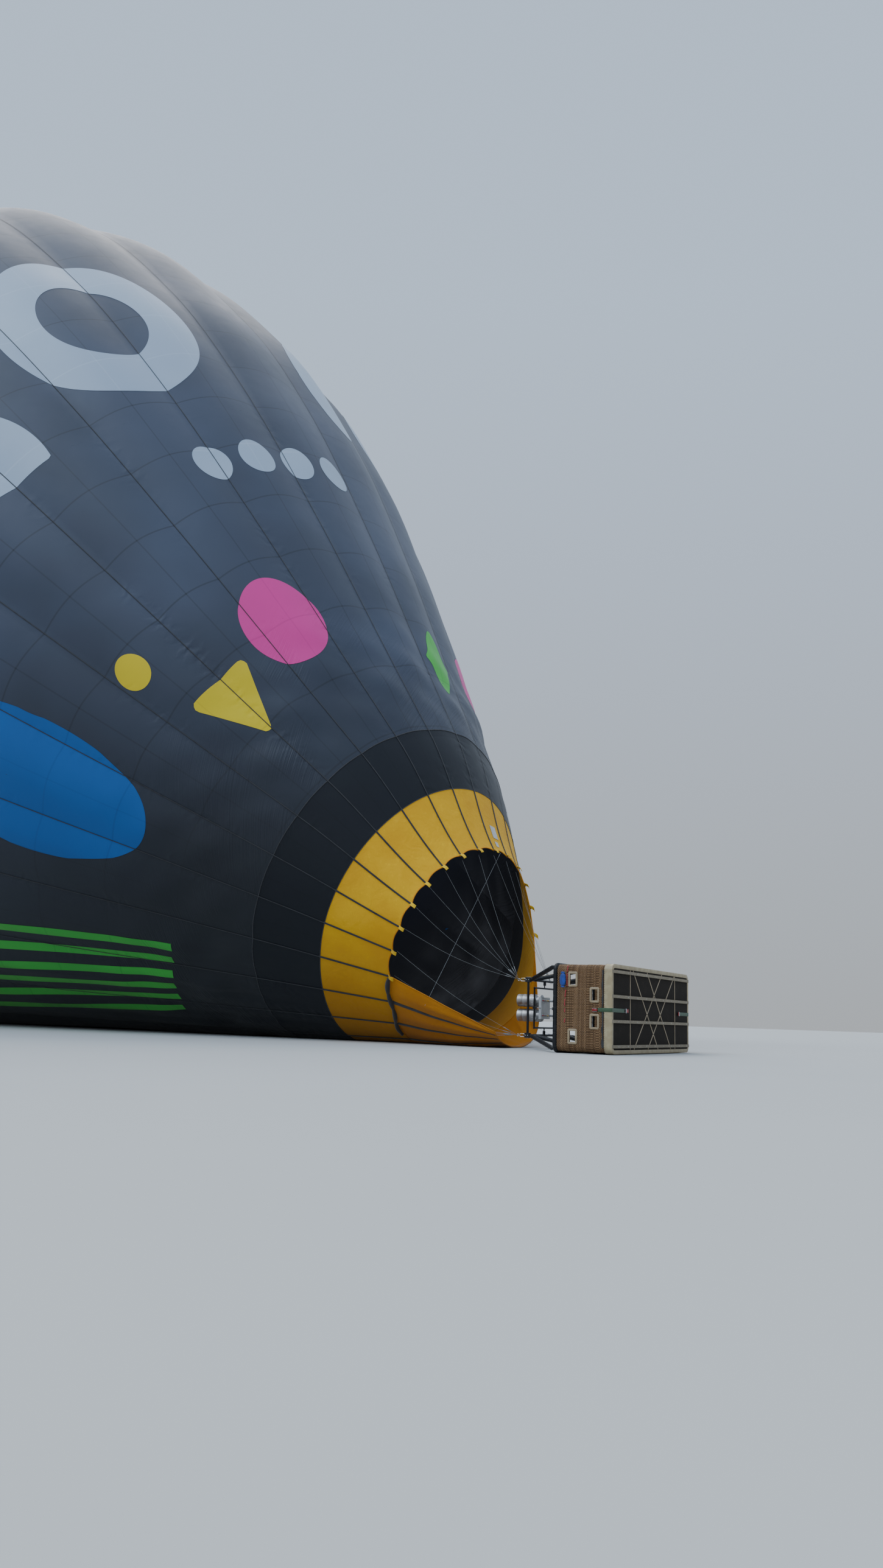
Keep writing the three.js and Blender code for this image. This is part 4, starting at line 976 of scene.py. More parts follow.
def patch(name, along0, degrees_from_top, outline, cloth, inner=0.0, side=1):
    """outline(turn) is the distance from the centre; x runs round the envelope and y up its axis."""
    angle0 = math.radians(90 + side * degrees_from_top)
    widest = max(outline(turn) for turn in np.linspace(0, 2 * math.pi, 90))
    around = int(2 * math.pi * widest / PATCH_GRAIN)
    rings = int(widest * (1 - inner) / PATCH_GRAIN) + 2
    turns = np.arange(around) * 2 * math.pi / around
    reach = np.array([outline(turn) for turn in turns])
    shares = np.linspace(0, 1, rings + 1)
    start = reach * inner if inner else reach * 0.004
    distance = start + shares[:, None] * (reach - start)
    x = distance * np.cos(turns)
    y = distance * np.sin(turns)
    along = along0 + y
    angle = angle0 + side * x / radius_at(along)
    points = cloth_point(along, angle, PATCH_LIFT)
    faces = grid_faces(rings + 1, around, closed=True, flip=side < 0)
    return piece(name, points, faces, cloth, stored=cloth_values(along, angle))


def round_shape(radius):
    return lambda turn: radius


def polygon_shape(corners, radius, tilt=0.0, wide=1.0, soft=0.12):
    """A regular polygon with slightly rounded corners; wide below 1 makes it slender."""
    def outline(turn):
        part = 2 * math.pi / corners
        from_side = (turn - tilt) % part - part / 2
        straight = radius * math.cos(part / 2) / math.cos(from_side)
        limit = radius * (1 - soft)
        reach = min(straight, limit)
        return reach / math.hypot(math.cos(turn) / wide, math.sin(turn))
    return outline


def half_round(radius):
    def outline(turn):
        up = math.sin(turn)
        return radius if up >= -0.35 else min(radius, 0.35 * radius / -up)
    return outline


motifs = []
for tag, flank in FLANKS:
    motifs.append(patch(f"pale_ring_{tag}", 14.2, 33, round_shape(2.5), pale_cloth, 0.52, flank))
    motifs.append(patch(f"pale_half_disc_{tag}", 11.6, 64, half_round(1.75), pale_cloth, 0, flank))
    motifs.append(patch(f"pink_disc_{tag}", 5.75, 39, round_shape(0.95), pink_cloth, 0, flank))
    triangle = polygon_shape(3, 0.95, 0.5)
    motifs.append(patch(f"yellow_triangle_{tag}", 5.0, 61, triangle, yellow_cloth, 0, flank))
    motifs.append(patch(f"yellow_disc_{tag}", 6.7, 71, round_shape(0.36), yellow_cloth, 0, flank))
    hexagon = polygon_shape(6, 3.2, 0.52, 0.52)
    motifs.append(patch(f"blue_hexagon_{tag}", 7.9, 100, hexagon, blue_cloth, 0, flank))
for number, degrees in enumerate((31, 22, 13, 4)):
    motifs.append(patch(f"pale_dot_{number + 1}", 9.6, degrees, round_shape(0.46), pale_cloth))
motifs.append(patch("pale_bar", 14.2, -9, polygon_shape(6, 2.5, 0.52, 0.42), pale_cloth))
motifs.append(patch("green_diamond", 4.75, -8, polygon_shape(4, 0.85, 0.0, 0.62, 0.05), green_cloth))
print("sewn-on shapes", len(motifs))

# %% [markdown]
# Six green stripes run along the lower flank, a little steeper than the gores, so
# they fan out with them, as stripes that are cut into the gores do.

# %% Green stripes
STRIPES = 6
STRIPE_STEP = 4.75
STRIPE_DRIFT = 0.95


def stripe(number, flank):
    """Degrees are counted from the top; a stripe drifts down by so many per metre."""
    along = np.linspace(4.38 + 0.08 * number, 13.5, 150)
    along_grid, degrees = np.meshgrid(along, np.linspace(-1.0, 1.0, 7), indexing="ij")
    middle = 128.6 + number * STRIPE_STEP + (along_grid - 4.4) * STRIPE_DRIFT
    angle = np.radians(90 + flank * (middle + degrees * (6.2 / radius_at(along_grid)) ** 0.5))
    return along_grid, angle


for tag, flank in FLANKS:
    for number in range(STRIPES):
        along, angle = stripe(number, flank)
        faces = grid_faces(*along.shape, flip=flank > 0)
        values = cloth_values(along, angle)
        points = cloth_point(along, angle, PATCH_LIFT)
        motifs.append(piece(f"green_stripe_{tag}_{number + 1}", points, faces, green_cloth, stored=values))
print("motif pieces", len(motifs))

# %% [markdown]
# Each sheet is listed here with the tapes, hems and motifs that lie on it.

# %% Listing the sheets with what lies on them
def declare(sheets, with_pieces=()):
    for number, (sheet, width, length, area) in enumerate(sheets):
        pieces_on_it = list(with_pieces) if number == 0 else []
        min(area, width * length)


declare(lower_sheets, [load_tapes, *motifs])
declare(middle_sheets)
declare(top_sheets)
declare(band_sheets, [seams])
declare(skirt_sheets, [skirt_tapes, tape_tabs, hems, labels, bunched_strap])
declare([(scoop_sheet, scoop_width, scoop_length, scoop_area)], [scoop_tapes])

# %% [markdown]
# ## Crown
# The vent at the crown is closed from inside by the parachute valve, a slack disc
# that the air presses against the tapes. The tapes meet at a small steel ring.
# The disc rides on its own body, so that it can be pulled down into the envelope.

# %% Crown tapes, ring and valve
CROWN_TAPE_HALF = 0.021
VALVE_RADIUS = 3.15


def crown_point(radius, angle, lift):
    along = crown_along(radius) + lift
    point = MOUTH + along[..., None] * AXIS + (radius * np.cos(angle))[..., None] * LEVEL
    return placed(point + (radius * np.sin(angle))[..., None] * ACROSS)


def crown_strip(gore):
    radius = np.linspace(0.22, 2.93, 14)
    rows = []
    for share, lift in ((-1, -0.002), (1, -0.002), (1, 0.003), (-1, 0.003)):
        angle = gore * TAPE_TURN + share * CROWN_TAPE_HALF / radius
        rows.append(crown_point(radius, angle, lift))
    return facing_out(np.stack(rows, axis=1), grid_faces(14, 4, closed=True))


crown_strips = [crown_strip(k) for k in range(GORES)]
crown_tapes = piece("crown_tapes", *joined(crown_strips), black_webbing, smooth=False)
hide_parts("crown_ring")
ring_turns = np.arange(72) * 2 * math.pi / 72
ring_line = crown_point(np.full(72, 0.25), ring_turns, 0.006)
piece("crown_steel_ring", *tube(ring_line, 0.016, 10, closed=True), steel)
hem_turns = np.arange(144) * math.pi / 72
hem_line = crown_point(np.full(144, VENT + 0.02), hem_turns, 0.006)
piece("vent_hem", *tube(hem_line, 0.014, 6, closed=True), black_webbing)
share, turn = np.meshgrid(np.linspace(0.004, 1, 24), np.arange(288) * 2 * math.pi / 288, indexing="ij")
scallop = 0.05 * share**2 * np.abs(np.sin(turn * GORES / 2))
hollow = 0.045 * np.sin(math.pi * share) * (0.5 + 0.5 * np.cos(turn * GORES))
flat_disc = crown_point(share * VALVE_RADIUS - scallop * 0.6, turn, 0.0)
valve_points = flat_disc - AXIS * (0.062 + hollow)[..., None]
valve_faces = grid_faces(24, 288, closed=True)
valve_gores = turn * GORES / (2 * math.pi)
valve_values = {"along": share * VALVE_RADIUS, "gore": valve_gores, "breadth": share * 0.82}
valve = piece("valve_cloth", valve_points, valve_faces, slate_cloth, "valve", stored=valve_values)
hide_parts("parachute_valve")
cloth_area(valve_points, valve_faces)
piece("valve_hem", *tube(valve_points[-1], 0.012, 6, closed=True), black_webbing, "valve")
print("crown made; valve", round(cloth_area(valve_points, valve_faces), 1), "square metres")

# %% [markdown]
# ## Flying wires
# From each tape end a thin steel wire runs to one of four karabiners on the load
# frame. Each is a tube on a path that hangs 5 to 18 cm below the straight line,
# since the wires are hardly loaded yet; those that start near the ground run
# straight. At the karabiner a thimble and pressed sleeves hold their ends.

# %% Where the wires start and where they gather
FRAME_X = -2.39
FRAME_HALF_LONG = 0.8
FRAME_HALF_SHORT = 0.55
CORNERS = ((-1, 1, 7), (-1, -1, 13), (1, -1, 19), (1, 1, 1))
LUG_POINT_X = FRAME_X - 0.067
WIRE_SAGS = (0.10, 0.14, 0.17, 0.05, 0.18, 0.13)
LOW_START = 0.5
SCOOP_WIRES_FROM = 19


def frame_corner(x, side_y, side_z):
    return np.array((x, side_y * FRAME_HALF_LONG, BASKET_MIDDLE + side_z * FRAME_HALF_SHORT))


def wire_start(tape):
    angle = tape * TAPE_TURN
    if tape >= SCOOP_WIRES_FROM:
        t = np.array((angle - SCOOP_FROM) / (SCOOP_TO - SCOOP_FROM))
        turn = math.pi * (1 + t)
        return scoop_tip(t) + np.array((0.0, -math.cos(turn), -math.sin(turn))) * 0.004
    tab = sagged_point(-0.03, angle)
    return tab + unit(MOUTH - tab) * 0.07


def wire_path(start, end, sag):
    share = np.linspace(0, 1, 18)[:, None]
    path = start + share * (end - start)
    path[:, 2] -= sag * np.sin(math.pi * share[:, 0])
    return path


for number, (side_y, side_z, first) in enumerate(CORNERS):
    gather = frame_corner(LUG_POINT_X - 0.146, side_y, side_z)
    parts = []
    for k, full_sag in enumerate(WIRE_SAGS):
        start = wire_start(first + k)
        sag = full_sag if start[2] >= LOW_START else 0.0
        fanned = gather + np.array((0.0, 0.0, 0.003 * (k - 2.5)))
        path = placed(wire_path(fanned, start, sag))
        parts.append(tube(path, 0.0024, 6))
        parts.append(tube(path[1:3], 0.0065, 8))
    wires = piece(f"flying_wire_set_{number + 1}", *joined(parts), wire_steel)
    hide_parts(f"flying_wires_{number + 1}")
    ring = ring_points(placed(gather), X_AXIS, Z_AXIS, 0.021, count=20)
    piece(f"wire_thimble_{number + 1}", *tube(ring, 0.006, 8, closed=True), steel)
print("flying wires made")

# %% [markdown]
# ## Frame, gimbal and burners
# The welded pieces of the solid model already have the right shape, so they keep
# it and only get their finish: dark paint on the frames, brushed steel on the
# burner's block. What a maker would bolt on comes after: locking sleeves on the
# karabiners, bolts in the corner blocks, coils in the burner cans.

# %% Finishes on the solid steel pieces
def refinish(names, material):
    for name in names:
        for slot_of_node in nodes[name].material_slots:
            slot_of_node.material = material


refinish(["load_frame", "gimbal_frame"], dark_steel)
refinish(["burner_block"], steel)
refinish([f"karabiner_{k}" for k in range(1, 5)], steel)
refinish([f"runner_{k}" for k in range(1, 5)], runner_wood)
refinish(["basket_floor"], floor_wood)
refinish(["base_band"], rawhide)
print("solid pieces refinished")

# %% [markdown]
# A burner can is rolled from thin stainless sheet: a cone behind, two swaged rings
# that stiffen the barrel, and a rolled rim at the open end. Round sheet metal is
# turned from a profile, as on a lathe, and Blender has a Screw modifier for that.
# Here the profile is spun in code, with a close point at each side of a corner, so
# that smooth shading keeps the corner crisp and the barrel round.

# %% Spinning a profile
SPIN_SIDES = 40
AXIS_GAP = 0.0005


def crisp(profile, gap=0.0012):
    """Turns each sharp corner of a profile into two points close to it."""
    profile = np.asarray(profile, dtype=float)
    points = [profile[0]]
    for before, corner, after in zip(profile[:-2], profile[1:-1], profile[2:]):
        turn = np.dot(unit(corner - before), unit(after - corner))
        if turn > 0.9:
            points.append(corner)
            continue
        for neighbour in (before, after):
            reach = np.linalg.norm(neighbour - corner)
            points.append(corner + (neighbour - corner) * min(gap / reach, 0.3))
    points.append(profile[-1])
    return np.array(points)


def spun(foot, profile):
    """Spins points of (distance from the foot towards the mouth, radius) about x."""
    turn = np.arange(SPIN_SIDES) * 2 * math.pi / SPIN_SIDES
    x = foot[0] - profile[:, :1] + turn * 0
    y = foot[1] + profile[:, 1:] * np.cos(turn)
    z = foot[2] + profile[:, 1:] * np.sin(turn)
    return facing_out(np.stack([x, y, z], axis=-1), grid_faces(len(profile), SPIN_SIDES, closed=True))


def foot_of(name):
    low, high = (np.array(corner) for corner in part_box(name))
    return np.array((high[0], (low[1] + high[1]) / 2, (low[2] + high[2]) / 2))


print("one spun ring has", SPIN_SIDES, "points")

# %% [markdown]
# The can's profile runs from the axis out over the neck and the cone, along the
# barrel to the rolled rim, and back inside, 2 mm further in, so the can is hollow.
# Sixteen vent slots are pressed round the back of its barrel.

# %% Burner cans
CAN_RADIUS = 0.130
CAN_LENGTH = 0.480
CAN_NECK = 0.065
CAN_SHEET = 0.002
RIM_BEAD = 0.005
SWAGE = 0.004
CAN_BARREL = CAN_RADIUS - SWAGE
SLOTS = 16
SLOT_FROM = 0.110
SLOT_LENGTH = 0.045


def can_profile():
    profile = [(0.0, AXIS_GAP), (0.0, CAN_NECK), (0.060, CAN_NECK), (0.090, CAN_BARREL)]
    for ring_at in (0.20, 0.35):
        for step in np.linspace(-1.0, 1.0, 7):
            lift = SWAGE * math.cos(step * math.pi / 2) ** 2
            profile.append((ring_at + step * 0.014, CAN_BARREL + lift))
    profile.append((CAN_LENGTH - RIM_BEAD * 2, CAN_BARREL))
    for angle in np.linspace(0.5, -0.5, 7) * math.pi:
        reach = CAN_LENGTH - RIM_BEAD + RIM_BEAD * math.cos(angle)
        profile.append((reach, CAN_RADIUS - RIM_BEAD + RIM_BEAD * math.sin(angle)))
    inside = CAN_BARREL - CAN_SHEET
    profile += [(CAN_LENGTH - RIM_BEAD * 2, inside), (0.096, inside)]
    profile += [(0.068, CAN_NECK - CAN_SHEET), (0.068, AXIS_GAP)]
    return crisp(profile)


can_vents = []
for k in range(1, 5):
    foot = foot_of(f"burner_can_{k}")
    can = piece(f"can_shell_{k}", *spun(foot, can_profile()), can_steel, "burner")
    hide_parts(f"burner_can_{k}")
    for angle in np.arange(SLOTS) * 2 * math.pi / SLOTS:
        out = np.array((0.0, math.cos(angle), math.sin(angle)))
        back = foot + out * (CAN_BARREL + 0.001) - SLOT_FROM * X_AXIS
        share = np.linspace(0, 1, 7)[:, None]
        swell = 0.005 * np.sin((0.12 + 0.76 * share[:, 0]) * math.pi)
        can_vents.append(tube(back - share * SLOT_LENGTH * X_AXIS, swell, 6))
piece("can_vents", *joined(can_vents), can_steel, "burner")
print("can profile", len(can_profile()), "points; vents", len(can_vents))

# %% [markdown]
# Each can holds a coil of stainless tube, in which the fuel turns to gas, and a
# second coil inside it. A helix is a circle that moves along as it turns; here its
# radius also changes along the axis, so that each coil is slightly conical.

# %% Coils, jets and valve grips
CAN_SPACING = 0.30


def helix(centre, start, end, radius_from, radius_to, turns, steps=20):
    share = np.linspace(0, 1, int(turns * steps))
    radius = radius_from + share * (radius_to - radius_from)
    angle = share * turns * 2 * math.pi
    x = start + share * (end - start)
    return centre + np.stack([x, radius * np.cos(angle), radius * np.sin(angle)], axis=1)


def rod(a, b, radius, sides=12):
    a, b = np.asarray(a, dtype=float), np.asarray(b, dtype=float)
    share = np.array((0.0, 0.03, 0.5, 0.97, 1.0))[:, None]
    radii = radius * np.array((0.8, 1.0, 1.0, 1.0, 0.8))
    return tube(a + share * (b - a), radii, sides)


def ground_rod(a, b, radius, sides=12):
    return rod(placed(a), placed(b), radius, sides)


coil_parts = []
jet_parts = []
grip_parts = []
for side_y in (-1, 1):
    for side_z in (-1, 1):
        middle = np.array((FRAME_X, side_y * CAN_SPACING / 2, BASKET_MIDDLE + side_z * CAN_SPACING / 2))
        coil = helix(middle, -0.47, -0.14, 0.104, 0.088, 7.5)
        coil_parts.append(tube(placed(coil), 0.0075, 8))
        inner_coil = helix(middle, -0.43, -0.16, 0.060, 0.050, 5.5)
        coil_parts.append(tube(placed(inner_coil), 0.0065, 8))
        nose = middle - 0.11 * X_AXIS
        jet_parts.append(ground_rod(nose, nose - 0.06 * X_AXIS, 0.016))
        for spoke in range(6):
            angle = spoke * math.pi / 3
            jet = nose + np.array((-0.045, 0.034 * math.cos(angle), 0.034 * math.sin(angle)))
            jet_parts.append(ground_rod(jet, jet - 0.02 * X_AXIS, 0.006, 8))
        grip = middle + np.array((0.117, side_y * 0.12, 0.0))
        grip_parts.append(ground_rod(grip, grip + side_y * 0.075 * Y_AXIS, 0.013))
        nut = middle + 0.13 * X_AXIS
        jet_parts.append(ground_rod(nut, nut + 0.035 * X_AXIS, 0.014, 6))
red_paint = Finish("red_paint", (0.36, 0.012, 0.014), 0.35, coat=0.3)
red_paint.paint(red_paint.noise(25.0, 4.0).fade(0.42, 0.32) * 0.5, (0.16, 0.01, 0.01))
red_paint.bump(red_paint.noise(60.0, 2.0), 0.0005, 0.3)
piece("burner_coils", *joined(coil_parts), steel, "burner")
piece("burner_jets", *joined(jet_parts), brass, "burner")
piece("blast_valve_grips", *joined(grip_parts), red_paint.material, "burner")
print("coils", len(coil_parts), "jets and nuts", len(jet_parts), "grips", len(grip_parts))

# %% [markdown]
# The corner blocks are bolted up, and each karabiner has a screwed locking sleeve
# on its gate. A hexagon bolt head is a tube with six sides.

# %% Bolts and sleeves
BOLT_OFFSETS = (-0.026, 0.026)
BOLT_HEAD = 0.008
BLOCK_FACE = 0.0475
bolt_parts = []
for side_y, side_z, _ in CORNERS:
    corner = frame_corner(FRAME_X, side_y, side_z)
    for offset_x in BOLT_OFFSETS:
        for offset_y in BOLT_OFFSETS:
            start = corner + np.array((offset_x, offset_y, side_z * BLOCK_FACE))
            bolt_parts.append(ground_rod(start, start + side_z * BOLT_HEAD * Z_AXIS, 0.009, 6))
    for offset_x in BOLT_OFFSETS:
        start = corner + np.array((offset_x, side_y * BLOCK_FACE, 0.0))
        bolt_parts.append(ground_rod(start, start + side_y * BOLT_HEAD * Y_AXIS, 0.009, 6))
piece("frame_bolts", *joined(bolt_parts), steel)
sleeve_parts = []
for side_y, side_z, _ in CORNERS:
    centre = frame_corner(LUG_POINT_X - 0.052, side_y, side_z) + 0.0275 * Z_AXIS
    low, high = centre - 0.022 * X_AXIS, centre + 0.022 * X_AXIS
    share = np.linspace(0, 1, 9)[:, None]
    ribs = 0.0105 + 0.0012 * np.cos(np.arange(9) * math.pi)
    sleeve_parts.append(tube(placed(low + share * (high - low)), ribs, 12))
piece("karabiner_sleeves", *joined(sleeve_parts), brass)
print("bolts", len(bolt_parts), "sleeves", len(sleeve_parts))

# %% [markdown]
# The fuel cylinders stand in their compartment inside the basket. Each is spun
# from a profile too: a rounded foot, a weld round the middle, a domed top and an
# open collar.

# %% Fuel cylinders
CYLINDER_RADIUS = 0.150
CYLINDER_BODY = 0.780
DOME = 0.090
COLLAR = 0.095
COLLAR_HEIGHT = 0.110
FOOT_ROUND = 0.030


def cylinder_profile():
    profile = [(0.0, AXIS_GAP)]
    for angle in np.linspace(0.0, 0.5, 8) * math.pi:
        flat = CYLINDER_RADIUS - FOOT_ROUND
        profile.append((FOOT_ROUND * (1 - math.cos(angle)), flat + FOOT_ROUND * math.sin(angle)))
    for step in (-1.0, -0.5, 0.0, 0.5, 1.0):
        profile.append((0.40 + step * 0.006, CYLINDER_RADIUS + 0.0014 * (1 - step * step)))
    for angle in np.linspace(0.0, 0.5, 10) * math.pi:
        reach = CYLINDER_BODY + DOME * math.sin(angle)
        profile.append((reach, COLLAR + (CYLINDER_RADIUS - COLLAR) * math.cos(angle)))
    top = CYLINDER_BODY + DOME + COLLAR_HEIGHT
    profile += [(top - 0.004, COLLAR), (top, COLLAR - 0.003), (top - 0.004, COLLAR - 0.006)]
    profile += [(CYLINDER_BODY + DOME, COLLAR - 0.006), (CYLINDER_BODY + DOME + 0.012, AXIS_GAP)]
    return crisp(profile)


for k in range(1, 5):
    shell = piece(f"cylinder_shell_{k}", *spun(foot_of(f"fuel_cylinder_{k}"), cylinder_profile()), aluminium)
    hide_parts(f"fuel_cylinder_{k}")
print("cylinder profile", len(cylinder_profile()), "points")

# %% [markdown]
# Two pairs of webbing straps hold each cylinder. A strap is a ring of thin tube
# just outside the barrel. A brass valve with its hand wheel stands in the collar.

# %% Cylinder straps and valves
STRAP_HEIGHTS = (0.18, 0.24, 0.56, 0.62)
cylinder_straps = []
cylinder_valves = []
for k in range(1, 5):
    low, high = (np.array(corner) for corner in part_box(f"fuel_cylinder_{k}"))
    middle = (low + high) / 2
    for height in STRAP_HEIGHTS:
        centre = np.array((high[0] - height, middle[1], middle[2]))
        around = ring_points(centre, Y_AXIS, Z_AXIS, 0.1515, count=40)
        cylinder_straps.append(tube(around, 0.006, 6, closed=True))
    top = np.array((low[0], middle[1], middle[2]))
    stem_foot = top + (COLLAR_HEIGHT - 0.01) * X_AXIS
    stem_top = top - 0.030 * X_AXIS
    wheel_top = top - 0.042 * X_AXIS
    cylinder_valves.append(rod(stem_foot, stem_top, 0.022))
    cylinder_valves.append(rod(stem_top, wheel_top, 0.034, 16))
piece("cylinder_straps", *joined(cylinder_straps), black_webbing)
piece("cylinder_valves", *joined(cylinder_valves), brass)
print("cylinder straps", len(cylinder_straps), "valve parts", len(cylinder_valves))

# %% [markdown]
# ## Padded uprights
# Flexible poles stand between the rim and the frame inside long padded leather
# covers, closed by a zip. A cover is a tube whose radius swells between its ties
# and whose surface is creased round it; the ends are drawn in over the pole.

# %% Upright covers
UPRIGHT = 0.034
RIM_TOP_X = -1.13 - 0.084 - UPRIGHT
TIES = (0.1, 0.36, 0.63, 0.9)
COVER_RADIUS = 0.041
UPRIGHT_PLACES = ((2.13, 0.03), (0.70, -0.046))


def upright_ends(side_y, side_z, rim_y, head_y):
    foot = np.array((RIM_TOP_X, side_y * rim_y, BASKET_MIDDLE + side_z * 0.753))
    top = frame_corner(FRAME_X + 0.048 + UPRIGHT, side_y, side_z)
    top[1] = side_y * (FRAME_HALF_LONG + head_y)
    return foot, top


def padded_tube(foot, top, radius, seed):
    share = np.linspace(0, 1, 70)
    path = foot + share[:, None] * (top - foot)
    ends = smooth(0.0, 0.05, share) * smooth(0.0, 0.05, 1 - share)
    ties = 1 - 0.16 * sum(np.exp(-(((share - tie) / 0.012) ** 2)) for tie in TIES)
    radii = radius * (0.55 + 0.47 * ends) * ties
    points, faces = tube(placed(path), radii, 20)
    rings = points.reshape(len(share) + 2, 20, 3)
    centres = rings.mean(axis=1, keepdims=True)
    around = np.arange(20) * 2 * math.pi / 20
    along = np.concatenate([[0.0], share, [1.0]])[:, None]
    crease = 1 + 0.055 * np.sin(along * 95 + 2.2 * np.sin(around + seed)) * np.cos(around * 2 + seed)
    rings = centres + (rings - centres) * crease[..., None]
    return rings, faces


tie_parts = []
zip_parts = []
number = 0
for side_y, side_z, _ in CORNERS:
    for rim_y, head_y in UPRIGHT_PLACES:
        number += 1
        foot, top = upright_ends(side_y, side_z, rim_y, head_y)
        padding = padded_tube(foot, top, COVER_RADIUS, number)
        cover = piece(f"upright_cover_{number}", *padding, black_leather)
        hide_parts(f"upright_{number}")
        forward = unit(top - foot)
        side = unit(np.cross(forward, (0.0, 0.0, 1.0)))
        up = np.cross(side, forward)
        for tie in TIES:
            centre = placed(foot + tie * (top - foot))
            tie_parts.append(tube(ring_points(centre, side, up, 0.038, count=16), 0.0035, 6, closed=True))
        seam = foot + np.linspace(0.06, 0.94, 30)[:, None] * (top - foot) + up * COVER_RADIUS * side_z
        zip_parts.append(tube(placed(seam), 0.0028, 5))
piece("upright_ties", *joined(tie_parts), black_webbing)
piece("upright_zips", *joined(zip_parts), brass)
print("uprights", number)

# %% [markdown]
# ## Wicker
# The basket is woven in one piece: thin rods, the weavers, run round it, in front
# of one stake and behind the next. In some bands every weaver changes sides with
# the next, which looks fine and even; in others a whole block of weavers goes
# together, which makes the ridges that show from far away. A shader could fake it
# on a flat wall, but real rods catch the light at the edges and round the holes.

# %% The path of a weaver
HALF_LENGTH = 2.24
HALF_WIDTH = 0.80
CORNER = 0.125
STAKE_STEP = 0.0225
ROW_STEP = 0.0187
BLOCK_BANDS = ((0.29, 0.372), (0.395, 0.55), (0.80, 0.965))
BLOCK_SWING = 0.0098
PLAIN_SWING = 0.0062
WEAVE_DEPTH = 0.0165
HOLE_HALF_HIGH = 0.06
HOLE_HALF_WIDE = 0.105


def end_path(side):
    """Round one end of the basket, corners included."""
    quarter = CORNER * math.pi / 2
    flat = 2 * (HALF_WIDTH - CORNER)

    def at(u):
        turn = np.clip(u / CORNER, 0, math.pi / 2) + np.clip((u - quarter - flat) / CORNER, 0, math.pi / 2)
        middle = np.clip(u - quarter, 0, flat) - flat / 2
        out_y = np.sin(turn)
        out_z = -np.cos(turn)
        y = side * (HALF_LENGTH - CORNER + CORNER * out_y)
        z = BASKET_MIDDLE + middle + CORNER * out_z
        return np.stack([y, z], axis=-1), np.stack([side * out_y, out_z], axis=-1)

    return at, 2 * quarter + flat


def side_path(side):
    length = 2 * (HALF_LENGTH - CORNER)

    def at(u):
        y = u - length / 2
        z = np.full_like(u, BASKET_MIDDLE + side * HALF_WIDTH)
        return np.stack([y, z], axis=-1), np.stack([np.zeros_like(u), np.full_like(u, side)], axis=-1)

    return at, length


def in_block(height):
    return any(low <= height <= high for low, high in BLOCK_BANDS)


print("weaver's path round an end", round(end_path(1)[1], 3), "m")

# %% [markdown]
# A wall is woven row by row. Each weaver swings in and out as a sine whose half
# wave is one stake's step, with a little chance in it, and a step hole cuts it in
# two. Then the upright stakes go in. Each rod gets its own tone, and a point that
# swings out is a little paler and one that swings in darker: painted shade.

# %% Weaving one wall
def cut_rows(height, length, holes, margin):
    """The stretches of a row that a step hole leaves."""
    stretches = [(0.0, length)]
    for hole_height, at_u in holes:
        if abs(height - hole_height) > HOLE_HALF_HIGH + margin:
            continue
        low, high = at_u - HOLE_HALF_WIDE, at_u + HOLE_HALF_WIDE
        kept = []
        for start, end in stretches:
            kept += [(start, min(end, low)), (max(start, high), end)]
        stretches = [(a, b) for a, b in kept if b - a > 0.02]
    return stretches


def rod_rings(middle, normal, half_high, half_deep):
    """A four-sided rod along a row: up, out, down and in from its centre line."""
    up = np.zeros_like(middle)
    up[..., 0] = -half_high
    out = np.concatenate([np.zeros_like(normal[..., :1]), normal], axis=-1) * half_deep
    return np.stack([middle + up, middle + out, middle - up, middle - out], axis=-2)


